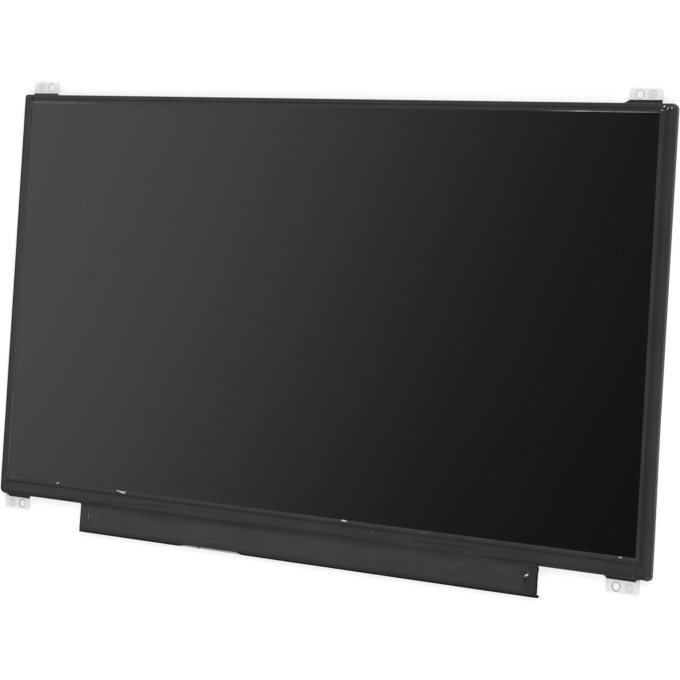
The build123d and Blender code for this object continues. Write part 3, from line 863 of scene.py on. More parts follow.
@dataclass(frozen=True)
class Ear:
    """One ear of the rear cover as the film meets it.

    Attributes:
        inner: The end of the ear towards the middle of the panel.
        outer: The other end.
        side: 1 on the right and -1 on the left.
        lip: How the film runs out on it.
    """

    inner: float
    outer: float
    side: int
    lip: LipForm

    @property
    def start(self) -> float:
        """Where the lip starts along X."""
        return self.inner - self.side * self.lip.root

    @property
    def full(self) -> float:
        """Where the lip has its full reach."""
        return self.inner - self.side * self.lip.tip

    def reach(self, x: Array) -> Array:
        """Reach of the lip: it grows in a straight line from 0 at its start to its full reach."""
        return self.lip.reach * np.clip((x - self.start) / (self.full - self.start), 0, 1)

    def side_reach(self, x: Array, seam: float) -> Array:
        """Reach of the side strip on the ear: a straight line from that at the seam to that at the end."""
        share = np.clip((x - seam) / (self.outer - seam), 0, 1)
        return self.lip.seam + (self.lip.end - self.lip.seam) * share


@dataclass(frozen=True)
class GrooveSide:
    """The groove beside one edge of the glass. All distances are from that edge.

    Attributes:
        depth: How far the film drops.
        deepest: Distance of its deepest place.
        end: Distance of its outer end.
        dark: Strength of the painted shade line in it.
        dark_at: Distance to which the line is fully dark.
        dark_end: Distance at which the line has faded.
        dark_from: Where the line is first fully dark, as a share of dark_at.
    """

    depth: float
    deepest: float
    end: float
    dark: float
    dark_at: float
    dark_end: float
    dark_from: float = 0.6

    def dip(self, away: Array) -> Array:
        """Depth of the film: a smooth step down to the deepest place and another one up to the end."""
        return self.depth * Span(0.0, self.deepest, self.deepest, self.end).at(away)

    def line(self, away: Array) -> Array:
        """Strength of the painted shade line: it rises from the glass, is full for a stretch and fades to its
        end.
        """
        return self.dark * Span(0.0, self.dark_from * self.dark_at, self.dark_at, self.dark_end).at(away)


@dataclass(frozen=True)
class PaleEdgeGlint:
    """Where the inner cut edge of the border's film shows pale, with a highlight painted along it.

    Attributes:
        base: Strength all round.
        upper_right: Strength near the right end of the upper edge.
        upper_right_span: Where along X that is.
        upper_left: Gain along X towards the left end of the upper edge.
        side: Strength at the top of the left edge.
        side_middle: Gain along Y towards its middle.
        side_low: Gain along Y towards its foot.
        left_edge: Where along X the left edge counts.
        above_foot: Where along Y it counts.
        lower: Gain along X on the lower edge.
        corner: Height below the opening's top that counts as its upper edge.
        foot: Height above the opening's bottom that counts as its lower edge.
        widths: Width of the pale band along the lower edge and elsewhere.
        core: Share of that width that is at full strength.
    """

    base: float = 0.02
    upper_right: float = 0.60
    upper_right_span: Span = Span(95 * MM, 113 * MM, 145 * MM, 147 * MM)
    upper_left: Ramp = Ramp(0.42, -108 * MM, -124 * MM)
    side: float = 0.01
    side_middle: Ramp = Ramp(0.13, 45 * MM, 5 * MM)
    side_low: Ramp = Ramp(0.15, -20 * MM, -60 * MM)
    left_edge: Ramp = Ramp(1.0, -147 * MM, -148 * MM)
    above_foot: Ramp = Ramp(1.0, -84 * MM, -83 * MM)
    lower: Ramp = Ramp(0.03, -110 * MM, -40 * MM)
    corner: float = 2 * MM
    foot: float = 1 * MM
    widths: Pair = (1.1 * MM, 0.45 * MM)
    core: float = 0.25

    def strength(self, cut: Array, bottom: float, top: float) -> Array:
        """Adds up the base, the two ends of the upper edge, the left edge and the lower edge.

        Args:
            cut: Points on the cut edge, one row each.
            bottom: Lower edge of the opening.
            top: Its upper edge.

        Returns:
            Shares from 0 to 1, in one column.
        """
        x, y = cut[:, :1], cut[:, 1:]
        upper = smooth_step(y, top - self.corner, top)
        ends = self.upper_right * self.upper_right_span.at(x) + self.upper_left.at(x)
        beside = self.left_edge.at(x) * (1 - upper) * self.above_foot.at(y)
        side = self.side + self.side_middle.at(y) + self.side_low.at(y)
        lower = self.lower.at(x) * smooth_step(y, bottom + self.foot, bottom)
        return self.base + upper * ends + beside * side + lower


@dataclass
class Border:
    """The taped border: plan and heights read from the frame, and the shape of its film.

    Attributes:
        left_corners: Radius in plan of the upper and the lower left corner.
        right_corners: Radius of the upper and the lower right corner.
        rim: Radius of the film over the rim.
        film: Thickness of the film.
        hem: Width of the film turned under the rear margin.
        hem_round: Radius where the film turns under, or out on an ear.
        grooves: The grooves left and right of the glass, below it and above it.
        groove_mix: Difference of width shares over which two grooves are mixed in a corner.
        slack: How far loose film stands out at the right, the lower and the upper wall.
        sag: How much further it stands out along Y towards the lower end of the right wall.
        right_slant: How far the right strip's inner edge lies off its place, at the top and at the bottom.
        rim_shade: Strength of the painted shade on the rim on the left and on the lower side.
        rim_shade_start: Share of that strength where the rim starts.
        rim_shade_run: Distance before the rim over which the painted shade sets in.
        pale: The pale inner cut edge, with the highlight painted along it.
        seam_dark: Painted shade along a seam, by the distance from it.
        seam_start: Distance past the opening over which that line sets in.
        lip_z: Height of the film on the roots of the ears.
        lip_bend: Share of a lip's reach that lies in its bend.
        step: Spacing of the grid along the outline.
        flat_columns: Number of grid columns from the inner cut edge to the rim.
        rim_columns: Number over the rim.
        turn_columns: Number in the small bend below it.
        hem_columns: Number on the hem.
        lip_columns: Number on the flat of a lip.
        corner_rows: Number of grid rows in a corner, with both its ends.
        end_rows: Number along each stretch between a seam and a corner.
        slant_rows: Number over the slanted end of a lip.
        soft: Waves of the film.
        soft_height: Height of those waves.
        soft_stretch: How much longer the waves are along X.
        folds: Creases of the film.
        upper_lips: How the film runs out on the upper left and the upper right ear.
        lower_lips: How it runs out on the lower left and the lower right ear.
    """

    left_corners: Pair = (1.3 * MM, 2.5 * MM)
    right_corners: Pair = (2.3 * MM, 1.35 * MM)
    rim: float = 1.2 * MM
    film: float = 0.12 * MM
    hem: float = 1.2 * MM
    hem_round: float = 0.25 * MM
    grooves: tuple[GrooveSide, ...] = (
        GrooveSide(0.04 * MM, 0.8 * MM, 1.6 * MM, 0.05, 1.2 * MM, 2.0 * MM),
        GrooveSide(0.14 * MM, 1.0 * MM, 1.6 * MM, 0.44, 1.2 * MM, 2.9 * MM),
        GrooveSide(0.13 * MM, 0.8 * MM, 1.5 * MM, 0.36, 0.85 * MM, 1.9 * MM),
        GrooveSide(0.12 * MM, 0.55 * MM, 1.0 * MM, 0.36, 0.6 * MM, 1.1 * MM),
    )
    groove_mix: float = 0.25
    slack: Triple = (0.45 * MM, 0.35 * MM, 0.05 * MM)
    sag: Ramp = Ramp(0.45 * MM, -30 * MM, -88 * MM)
    right_slant: Pair = (-0.15 * MM, 0.60 * MM)
    rim_shade: Pair = (0.65, 0.30)
    rim_shade_start: float = 0.6
    rim_shade_run: float = 1.0 * MM
    pale: PaleEdgeGlint = PaleEdgeGlint()
    seam_dark: Ramp = Ramp(0.50, 0.35 * MM, 0.10 * MM)
    seam_start: float = 0.4 * MM
    lip_z: float = 1.75 * MM
    lip_bend: float = 0.2
    step: float = 1.0 * MM
    flat_columns: int = 34
    rim_columns: int = 11
    turn_columns: int = 6
    hem_columns: int = 3
    lip_columns: int = 4
    corner_rows: int = 15
    end_rows: int = 12
    slant_rows: int = 7
    soft: Ripple = Ripple(7, 5 * MM, 40 * MM)
    soft_height: float = 0.02 * MM
    soft_stretch: float = 3.0
    folds: Folds = Folds((
        (147.6, 86.2, 149.3, 85.2, 0.28, 0.10), (149.1, 84.4, 150.2, 85.7, 0.26, 0.12),
        (146.9, 84.3, 148.1, 84.5, 0.25, 0.07), (151.1, 85.9, 151.5, 84.6, 0.25, 0.08),
        (149.5, 84.0, 150.4, 82.2, 0.30, 0.05), (-122.5, -84.3, -119.0, -84.2, 0.5, 0.05),
        (-90.0, -84.2, -84.0, -84.6, 0.6, 0.06), (20.5, -84.0, 25.5, -84.2, 0.5, 0.05),
    ))
    upper_lips: tuple[LipForm, LipForm] = (
        LipForm(0.1 * MM, 0.0, 0.7 * MM, 0.6 * MM, 0.5 * MM), LipForm(1.9 * MM, -0.5 * MM, 1.3 * MM),
    )
    lower_lips: tuple[LipForm, LipForm] = (
        LipForm(0.6 * MM, 0.2 * MM, 1.2 * MM, 1.0 * MM, 0.05 * MM),
        LipForm(0.8 * MM, -0.5 * MM, 1.2 * MM, 0.5 * MM, 0.3 * MM),
    )

    def __post_init__(self) -> None:
        """Reads the outline, the opening, the glass and the ears from the frame."""
        left_low, left_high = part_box("tape_left")
        right_low, right_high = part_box("tape_right")
        top_low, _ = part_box("tape_top")
        lower_low, lower_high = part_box("lower_cover_tape")
        self.glass_low, self.glass_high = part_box("colour_filter_glass")
        self.left, self.right = left_low.x, right_high.x
        self.bottom, self.top = left_low.y, left_high.y
        self.left_seams = (left_high.x, left_high.x)
        self.right_seams = (right_low.x + self.right_slant[0], right_low.x + self.right_slant[1])
        self.view_bottom, self.view_top = lower_high.y, top_low.y
        self.low_z, self.high_z = left_low.z, left_high.z
        self.flap_end = lower_low.y
        mesh = frame["nodes"]["rear_cover"].data
        points = np.empty(3 * len(mesh.vertices))
        mesh.vertices.foreach_get("co", points)
        points = points.reshape(-1, 3)
        self.upper_ears = self._ears(points[points[:, 1] > self.top + self.rim, 0], self.upper_lips)
        self.lower_ears = self._ears(points[points[:, 1] < self.bottom - self.rim, 0], self.lower_lips)

    @staticmethod
    def _ears(x: Array, lips: tuple[LipForm, LipForm]) -> tuple[Ear, Ear]:
        """The left and the right ear whose points lie at these places along X."""
        left, right = x[x < 0], x[x > 0]
        return Ear(left.max(), left.min(), -1, lips[0]), Ear(right.min(), right.max(), 1, lips[1])

    def groove(self, x: Array, y: Array) -> tuple[Array, Array]:
        """Depth of the groove round the glass, and the strength of the shade painted along it.

        Beside each edge of the glass its own groove counts. In a corner square the two grooves that meet
        are mixed by a smooth step on the difference of the shares of their widths.

        Args:
            x: Places along X.
            y: Places along Y.

        Returns:
            Depths in metres, and the strength of the painted shade line.
        """
        left, right, below, above = self.grooves
        aside = np.where(x > 0, x - self.glass_high.x, self.glass_low.x - x)
        along = np.where(y > 0, y - self.glass_high.y, self.glass_low.y - y)
        side_end = np.where(x > 0, right.end, left.end)
        level_end = np.where(y > 0, above.end, below.end)
        share = smooth_step(aside / side_end - along / level_end, -self.groove_mix, self.groove_mix)
        found = []
        for part in (GrooveSide.dip, GrooveSide.line):
            beside = np.where(x > 0, part(right, aside), part(left, aside))
            ended = np.where(y > 0, part(above, along), part(below, along))
            found.append(ended + share * (beside - ended))
        return found[0], found[1]

    def level(self, x: Array, y: Array) -> Array:
        """Height of the film on the flat of the border: the top, less the groove, with waves and creases."""
        uneven = self.soft_height * self.soft.height(x, y, self.soft_stretch) + self.folds.height(x, y)
        return self.high_z - self.groove(x, y)[0] + uneven

    def section(self, form: EdgeForm) -> tuple[Array, Array, Array]:
        """Section of the film from the start of the rim outwards.

        The rim is a quarter circle. A hem goes on down the side, round a small quarter circle and inwards.
        A lip goes down to the ear's root, round an inside quarter circle and outwards.

        Args:
            form: Hem or lip.

        Returns:
            Outward places from the start of the rim, the share of a lip's reach added to each, and heights.
        """
        turn = np.linspace(0, math.pi / 2, self.rim_columns)
        quarter = np.linspace(0, math.pi / 2, self.turn_columns)
        if form is EdgeForm.HEM:
            foot = self.low_z
            bend = self.rim - self.hem_round * (1 - np.cos(quarter))
            inwards = np.linspace(bend[-1], self.rim - self.hem, self.hem_columns + 1)[1:]
            beyond = np.append(bend, inwards)
            share = np.zeros(len(beyond))
        else:
            foot = self.lip_z
            outwards = np.linspace(self.lip_bend, 1, self.lip_columns + 1)[1:]
            share = np.append(self.lip_bend * (1 - np.cos(quarter)), outwards)
            beyond = np.full(len(share), self.rim)
        out = np.append(self.rim * np.sin(turn), beyond)
        high = np.concatenate([
            self.high_z - self.rim * (1 - np.cos(turn)),
            foot + self.hem_round * (1 - np.sin(quarter)),
            np.full(len(beyond) - len(quarter), foot),
        ])
        return out, np.append(np.zeros(len(turn)), share), high

    def looseness(self, path: Path) -> Array:
        """How far loose film stands out: the slack of each wall, by the part of the normal towards it.

        Args:
            path: A stretch of the outline.

        Returns:
            Distances in metres, in one column.
        """
        across, along = path.normal[:, :1], path.normal[:, 1:]
        right, lower, upper = self.slack
        aside = right + self.sag.at(path.outer[:, 1:])
        return aside * across.clip(0) + lower * (-along).clip(0) + upper * along.clip(0)

    def patch(self, path: Path, form: EdgeForm, reach: Array | None = None) -> Patch:
        """Carries the section of the film along a stretch of the outline.

        The flat runs in a straight line from the inner cut edge to the start of the rim, at the height of
        the border there. Beyond it the section of the form is carried along the outward normals, and loose
        film stands out by the square of the way over the rim.

        Args:
            path: The stretch of the outline.
            form: What the film does beyond the rim.
            reach: Reach of a lip at each point.

        Returns:
            The grid.
        """
        inner = path.inner[:, None]
        start = (path.outer - self.rim * path.normal)[:, None]
        plan = inner + (start - inner) * np.linspace(0, 1, self.flat_columns)[None, :, None]
        level = self.level(plan[..., 0], plan[..., 1])
        fixed, lip, high = (part[None, 1:] for part in self.section(form))
        out = fixed + lip * (np.zeros((len(start), 1)) if reach is None else reach[:, None])
        out = out + self.looseness(path) * (fixed.clip(0) / self.rim) ** 2
        around = start + path.normal[:, None] * out[..., None]
        lift = (level[:, -1:] - self.high_z) * smooth_step(high, self.high_z - self.rim, self.high_z)
        points = np.concatenate([np.dstack([plan, level]), np.dstack([around, high + lift])], axis=1)

        # Pale cut edge with its painted highlight, and painted shade on the left and lower rims and in the
        # groove.
        across, along = path.normal[:, :1], path.normal[:, 1:]
        width = np.where(along < -0.5, *self.pale.widths)
        from_cut = np.linalg.norm(plan - inner, axis=-1)
        pale = self.pale.strength(path.inner, self.view_bottom, self.view_top)
        pale = pale * smooth_step(from_cut, width, self.pale.core * width)
        dark = self.rim_shade[0] * (-across).clip(0) + self.rim_shade[1] * (-along).clip(0)
        to_rim = smooth_step(np.linalg.norm(plan - start, axis=-1), self.rim_shade_run, 0.0)
        over_rim = smooth_step(fixed, 0.0, self.rim_shade_start * self.rim)
        groove = self.groove(plan[..., 0], plan[..., 1])[1]
        shade = np.concatenate([
            np.maximum(groove, dark * to_rim * self.rim_shade_start),
            dark * (self.rim_shade_start + (1 - self.rim_shade_start) * over_rim),
        ], axis=1)
        return Patch(points, np.pad(pale, ((0, 0), (0, fixed.shape[1]))), shade)

    def run(self, first: float, last: float) -> Array:
        """Evenly spaced places from first to last, about one step apart."""
        return np.linspace(first, last, max(2, int(round(abs(last - first) / self.step)) + 1))

    def lip_run(self, ear: Ear, last: float) -> Array:
        """Places along a lip in rising order: fine over its slanted end, then one step apart to the seam."""
        slant = np.linspace(ear.start, ear.full, self.slant_rows)
        return np.unique(np.append(slant, self.run(ear.full, last)))

    def end_run(self, ear: Ear, seam: float, corner: float) -> tuple[int, Array]:
        """Places along a side strip's end, from the seam over the ear to the start of the corner.

        Args:
            ear: The ear on that end.
            seam: Where the strip ends along X.
            corner: Where the corner starts along X.

        Returns:
            The number of the place where the slit beside the ear ends, and the places.
        """
        past = np.clip(ear.side * (ear.outer - seam), 0.0, ear.side * (corner - seam))
        slit = np.linspace(seam, seam + ear.side * past, self.end_rows if past > 0 else 1)
        rest = np.linspace(slit[-1], corner, self.end_rows)
        return len(slit) - 1, np.append(slit, rest[rest != slit[-1]])

    def side_strip(self, name: str, side: int) -> FilmSheet:
        """Left or right strip: it runs the full height and round both corners to the seams.

        Args:
            name: Name of the piece.
            side: 1 for the right and -1 for the left.

        Returns:
            The film: a lip where an ear passes the seam, and a hem elsewhere.
        """
        which = 1 if side > 0 else 0
        outer, seams = ((self.left, self.left_seams), (self.right, self.right_seams))[which]
        upper, lower = (self.left_corners, self.right_corners)[which]
        upper_ear, lower_ear = self.upper_ears[which], self.lower_ears[which]
        slit_up, x_up = self.end_run(upper_ear, seams[0], outer - side * upper)
        slit_down, x_down = self.end_run(lower_ear, seams[1], outer - side * lower)
        turn = np.linspace(math.pi / 2, 0, self.corner_rows)[1:-1]
        bend, drop = side * np.cos(turn), 1 - np.sin(turn)
        rows = np.concatenate([
            rows_of(x_up, self.top, 0.0, 1.0),
            rows_of(outer + upper * (bend - side), self.top - upper * drop, bend, 1 - drop),
            rows_of(outer, self.run(self.top - upper, self.bottom + lower), side, 0.0),
            rows_of(outer + lower * (bend - side), self.bottom + lower * drop, bend, drop - 1)[::-1],
            rows_of(x_down, self.bottom, 0.0, -1.0)[::-1],
        ])
        inner_y = np.clip(rows[:, 1], self.bottom + abs(outer - seams[1]), self.top - abs(outer - seams[0]))
        inner_x = np.interp(inner_y, (self.view_bottom, self.view_top), seams[::-1])
        path = Path(rows[:, :2], rows[:, 2:], rows_of(inner_x, inner_y))
        last = len(rows) - 1
        sheet = FilmSheet(name, self.film)
        for first, end, ear, seam in (
            (0, slit_up, upper_ear, seams[0]), (slit_up, last - slit_down, None, 0.0),
            (last - slit_down, last, lower_ear, seams[1]),
        ):
            if end > first:
                part = path.part(first, end)
                reach = ear.side_reach(part.outer[:, 0], seam) if ear else None
                patch = self.patch(part, EdgeForm.LIP if ear else EdgeForm.HEM, reach)
                patch.shade = np.maximum(patch.shade, self.seam_shade(patch.points, seams))
                sheet.patches.append(patch if side > 0 else patch.flipped())
        return sheet

    def seam_shade(self, points: Array, seams: Pair) -> Array:
        """Dark line along a seam above and below the opening.

        Args:
            points: Places on a side strip.
            seams: Place along X of the upper and of the lower seam.

        Returns:
            Share of the dark line at each point.
        """
        x, y = points[..., 0], points[..., 1]
        beyond = np.maximum(y - self.view_top, self.view_bottom - y)
        line = self.seam_dark.at(abs(x - np.where(y > 0, *seams)))
        return line * smooth_step(beyond, 0.0, self.seam_start)

    def straight_path(self, x: Array, end: int) -> Path:
        """Path along the upper edge, or along the lower edge walked the other way.

        Args:
            x: Places from left to right.
            end: 1 for the upper edge and -1 for the lower.

        Returns:
            The path.
        """
        walk = x[::end]
        outer, inner = (self.top, self.view_top) if end > 0 else (self.bottom, self.view_bottom)
        return Path(rows_of(walk, outer), rows_of(np.zeros(len(x)), float(end)), rows_of(walk, inner))

    def straight_patch(self, x: Array, end: int, ear: Ear | None = None) -> Patch:
        """Film along the upper or the lower edge.

        Args:
            x: Places from left to right.
            end: 1 for the upper edge and -1 for the lower.
            ear: The ear under it, if there is one.

        Returns:
            The grid, with a lip on an ear and else a hem.
        """
        path = self.straight_path(x, end)
        if ear is None:
            return self.patch(path, EdgeForm.HEM)
        return self.patch(path, EdgeForm.LIP, ear.reach(path.outer[:, 0]))

    def top_strip(self, name: str) -> FilmSheet:
        """Upper strip between the two side strips, with a lip on each ear.

        Args:
            name: Name of the piece.

        Returns:
            The film.
        """
        left, right = self.upper_ears
        return FilmSheet(name, self.film, patches=[
            self.straight_patch(self.lip_run(left, self.left_seams[0]), 1, left),
            self.straight_patch(self.run(left.start, right.start), 1),
            self.straight_patch(self.lip_run(right, self.right_seams[0]), 1, right),
        ])


@dataclass(frozen=True)
class FlapPlan:
    """Plan of the flap, rows along the lower edge by columns outwards.

    Attributes:
        x: Places along X.
        y: Places along Y.
        reach: Distance from the start of the rim.
        to_edge: Distance to the lower edge.
        to_end: Distance to the nearer end.
        cut_back: Share of the stretch that is cut short, in one column.
    """

    x: Array
    y: Array
    reach: Array
    to_edge: Array
    to_end: Array
    cut_back: Array


@dataclass
class LowerFilm:
    """The one film over the lower border and the driver board.

    Attributes:
        border: The border it belongs to.
        overhang: How far the flap stands out past each end of the board.
        left_out: How much further out its left end is at the lower edge.
        right_in: How much further in its right end is at the lower edge.
        bead: How far the folded corner at the lower right stands out.
        bead_half: Half height of that corner, a half circle in outline.
        bead_zone: Height of the finer grid for that corner, in half heights.
        flare: How much wider the right end is near the border.
        flare_span: Where, from the start of the rim, that is.
        brow: How far the film runs level past the start of the rim.
        brow_drift: How much that varies along the edge.
        slope: Length of the slope in plan.
        looser: How much longer the slope is where the film is loose.
        loose_spans: Where along X the film is loose.
        lift: Height of the film above the board.
        short: How much the film is short along one stretch of the lower edge.
        short_span: Where along X that is.
        swell: Height of the film's waves above the lowest place.
        wave_height: Height of the waves.
        wave_stretch: How much longer the waves are along X.
        fold_gain: Height of the folds, as a multiple of the heights listed.
        calm: Share of the waves that is left at the ends.
        calm_run: Distance from the ends over which they grow to their full height.
        edge_sinks: How the film sinks towards the lower edge.
        end_sink: How it sinks towards the ends.
        edge_darks: Shade towards the lower edge.
        edge_bare: Share of that shade that is missing where the film is short.
        end_dark: Shade towards the ends.
        zone_dark: Shade of the right end, past its border line.
        zone_x: Where that line is half way down the flap.
        zone_lean: Lean of that line, along X for each step along Y.
        fine: Length at each end of the flap that has a finer grid.
        fine_step: Spacing of that grid.
        columns: Number of grid columns down the slope, over the board and at the edge.
        wave: Waves of the film.
        drift: Slow change along the edge.
        folds: Folds of the flap.
        creases: Painted shade along creases; the last number of each is its strength.
    """

    border: Border
    overhang: float = 0.3 * MM
    left_out: float = 0.25 * MM
    right_in: float = 0.15 * MM
    bead: float = 1.0 * MM
    bead_half: float = 0.65 * MM
    bead_zone: float = 2.2
    flare: float = 0.3 * MM
    flare_span: Span = Span(1.7 * MM, 2.1 * MM, 2.2 * MM, 5.0 * MM)
    brow: float = 0.35 * MM
    brow_drift: float = 0.20 * MM
    slope: float = 3.7 * MM
    looser: float = 3.0 * MM
    loose_spans: tuple[Span, ...] = (
        Span(-98 * MM, -80 * MM, -60 * MM, -45 * MM), Span(50 * MM, 58 * MM, 82 * MM, 88 * MM),
    )
    lift: float = 0.26 * MM
    short: float = 0.8 * MM
    short_span: Span = Span(-57 * MM, -52 * MM, -28 * MM, -25 * MM)
    swell: float = 0.14 * MM
    wave_height: float = 0.08 * MM
    wave_stretch: float = 2.5
    fold_gain: float = 1.5
    calm: float = 0.35
    calm_run: float = 2.5 * MM
    edge_sinks: tuple[Ramp, ...] = (Ramp(0.12 * MM, 3.0 * MM, 0.3 * MM), Ramp(0.30 * MM, 0.35 * MM, 0.0))
    end_sink: Ramp = Ramp(0.20 * MM, 0.5 * MM, 0.0)
    edge_darks: tuple[Ramp, ...] = (Ramp(0.36, 3.0 * MM, 0.7 * MM), Ramp(0.52, 1.0 * MM, 0.6 * MM))
    edge_bare: float = 0.8
    end_dark: Ramp = Ramp(0.90, 0.95 * MM, 0.45 * MM)
    zone_dark: Ramp = Ramp(0.30, -0.3 * MM, 0.3 * MM)
    zone_x: float = 102.65 * MM
    zone_lean: float = 0.33
    fine: float = 14.0 * MM
    fine_step: float = 0.28 * MM
    columns: tuple[int, int, int] = (24, 34, 15)
    wave: Ripple = Ripple(19, 9 * MM, 45 * MM)
    drift: Ripple = Ripple(5, 25 * MM, 70 * MM, 12)
    folds: Folds = Folds((
        (-103.5, -93.6, -103.4, -98.6, 0.32, 0.13), (-106.7, -93.0, -106.9, -102.5, 0.35, 0.06),
        (-105.3, -94.0, -105.4, -102.5, 0.35, 0.05), (-101.9, -94.0, -101.5, -102.0, 0.40, 0.06),
        (-99.5, -93.3, -93.0, -97.4, 0.90, 0.10), (-96.0, -92.8, -86.0, -96.0, 1.20, 0.10),
        (103.7, -95.35, 101.2, -93.6, 0.35, 0.10), (103.7, -95.35, 101.4, -96.9, 0.35, 0.09),
        (103.7, -95.35, 105.3, -93.3, 0.35, 0.09), (103.7, -95.35, 104.0, -98.2, 0.35, 0.08),
        (103.2, -95.70, 104.3, -94.9, 0.35, 0.18), (102.8, -97.4, 103.0, -102.4, 0.70, 0.10),
        (106.4, -93.5, 106.2, -102.5, 0.40, 0.06), (71.0, -97.8, 78.5, -93.6, 1.30, 0.22),
        (79.5, -93.2, 83.5, -91.8, 1.10, 0.16), (85.3, -92.4, 89.8, -95.4, 1.40, 0.18),
        (89.8, -95.4, 95.0, -95.5, 1.50, 0.18), (95.0, -95.5, 101.0, -93.2, 1.20, 0.15),
        (-78.0, -97.0, -60.0, -99.0, 1.60, 0.07), (-48.0, -98.4, -38.0, -97.4, 1.00, 0.06),
        (-44.0, -100.6, -30.0, -100.2, 0.80, 0.07), (-6.0, -99.5, 3.0, -100.6, 0.90, 0.07),
        (15.0, -96.5, 48.0, -98.5, 2.20, 0.07), (50.0, -94.5, 68.0, -97.0, 1.50, 0.07),
    ))
    creases: Folds = Folds((
        (-106.0, -89.5, -96.0, -89.9, 0.40, 0.30), (-96.0, -89.4, -62.0, -87.6, 0.35, 0.30),
        (-50.0, -87.6, -32.0, -87.8, 0.30, 0.14), (-26.0, -89.8, 48.0, -89.7, 0.40, 0.30),
        (55.0, -88.0, 83.0, -87.5, 0.35, 0.38), (85.0, -90.6, 107.6, -90.1, 0.40, 0.35),
        (102.7, -97.4, 102.8, -101.9, 0.50, 0.30), (-96.8, -94.7, -90.8, -96.2, 0.45, 0.22),
        (102.9, -97.5, 103.9, -97.4, 0.50, 0.45), (107.0, -93.5, 107.0, -102.0, 0.30, 0.22),
        (-106.2, -93.0, -106.3, -102.0, 0.30, 0.25), (-104.6, -93.5, -104.8, -102.0, 0.30, 0.22),
        (-102.6, -93.5, -102.6, -101.0, 0.35, 0.22), (103.2, -94.4, 101.6, -95.2, 0.45, 0.45),
        (104.6, -95.9, 103.2, -97.0, 0.45, 0.45), (105.4, -94.6, 105.6, -95.8, 0.40, 0.35),
    ))

    def __post_init__(self) -> None:
        """Reads the ends and the height of the flap from the frame."""
        _, board_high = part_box("driver_board")
        self.half = board_high.x + self.overhang
        self.flap_z = board_high.z + self.lift

    def plan(self, x: Array) -> FlapPlan:
        """Works out the flap in plan.

        The columns run from the start of the rim to the lower edge, which steps back where the film is short.
        The ends are drawn in or out in a straight line. The right one has a flare near the border, and a bead
        at its corner that stands out as sqrt(1 - (distance to the edge / half height - 1)^2).

        Args:
            x: Places along the lower outline, in one column.

        Returns:
            The plan.
        """
        top = self.border.bottom + self.border.rim
        whole = top - self.border.flap_end
        stops = (0, (self.brow + self.slope) / whole, 1 - self.bead_zone * self.bead_half / whole, 1)
        parts = [np.linspace(*part) for part in zip(stops, stops[1:], self.columns)]
        share = np.concatenate([parts[0][:-1], parts[1][:-1], parts[2]])
        cut_back = self.short_span.at(x)
        length = whole - self.short * cut_back
        reach = length * share[None, :]
        to_edge = length - reach
        way = np.clip(reach / whole, 0, 1)
        knob = np.sqrt(np.clip(1 - (to_edge / self.bead_half - 1) ** 2, 0, 1))
        right = self.half - self.right_in * way + self.bead * knob + self.flare * self.flare_span.at(reach)
        left = -self.half - self.left_out * way
        side = x / self.half
        drawn = np.where(side > 0, side * right, -side * left)
        to_end = np.minimum(right - drawn, drawn - left)
        return FlapPlan(drawn, top - reach, reach, to_edge, to_end, cut_back)

    def height(self, plan: FlapPlan, x: Array) -> tuple[Array, Array]:
        """Works out the height of the flap.

        It falls from the border's top to the board as 1 - (1 - t)^3 over the slope, steep at first, but not
        below the round of the rim. Then it lies on the board in soft waves and folds, and sinks towards its
        lower edge and its ends.

        Args:
            plan: The flap in plan.
            x: Places along the lower outline, in one column.

        Returns:
            Heights, and the share of the fall at each point.
        """
        border = self.border
        brow = self.brow + self.brow_drift * self.drift.height(x, np.zeros(x.shape))
        loose = sum(span.at(x) for span in self.loose_spans)
        down = 1 - (1 - np.clip((plan.reach - brow) / (self.slope + self.looser * loose), 0, 1)) ** 3
        waves = self.swell + self.wave_height * self.wave.height(plan.x, plan.y, self.wave_stretch)
        waves = waves + self.fold_gain * self.folds.height(plan.x, plan.y)
        waves = down * waves * (self.calm + (1 - self.calm) * smooth_step(plan.to_end, 0.0, self.calm_run))
        sunk = sum(ramp.at(plan.to_edge) for ramp in self.edge_sinks) + self.end_sink.at(plan.to_end)
        start = border.level(plan.x[:, :1], plan.y[:, :1])
        z = start + down * (self.flap_z - start) + waves - sunk * down
        rim = start - border.rim + np.sqrt(np.clip(border.rim**2 - plan.reach**2, 0, None))
        return np.where(plan.reach < border.rim, np.maximum(z, rim), z), down

    def shade(self, plan: FlapPlan, down: Array) -> Array:
        """The strongest shade at each point: lower edge, ends, darker right end or a crease.

        Args:
            plan: The flap in plan.
            down: Share of the fall at each point.

        Returns:
            Shares from 0 to 1.
        """
        edge = sum(ramp.at(plan.to_edge) for ramp in self.edge_darks) * (1 - self.edge_bare * plan.cut_back)
        ends = self.end_dark.at(plan.to_end) * smooth_step(down, 0.1, 0.4)
        middle = (self.border.bottom + self.border.flap_end) / 2
        past = plan.x - self.zone_x - self.zone_lean * (plan.y - middle)
        zone = self.zone_dark.at(past) * smooth_step(down, 0.3, 0.9)
        return np.maximum.reduce([edge, ends, zone, self.creases.height(plan.x, plan.y) / MM])

    def build(self, name: str) -> FilmSheet:
        """Makes the film.

        Args:
            name: Name of the piece.

        Returns:
            The film: lip and hem at the right, hem and lip at the left, and the flap between them.
        """
        border = self.border
        left, right = border.lower_ears
        ends = self.half - self.fine
        count = int(self.fine / self.fine_step)
        x = np.concatenate([
            np.linspace(-self.half, -ends, count)[:-1], border.run(-ends, ends),
            np.linspace(ends, self.half, count)[1:],
        ])
        path = border.straight_path(x, -1)
        top = border.patch(path, EdgeForm.HEM)
        walk = path.outer[:, :1]
        plan = self.plan(walk)
        z, down = self.height(plan, walk)
        flat = top.points[:, : border.flat_columns]
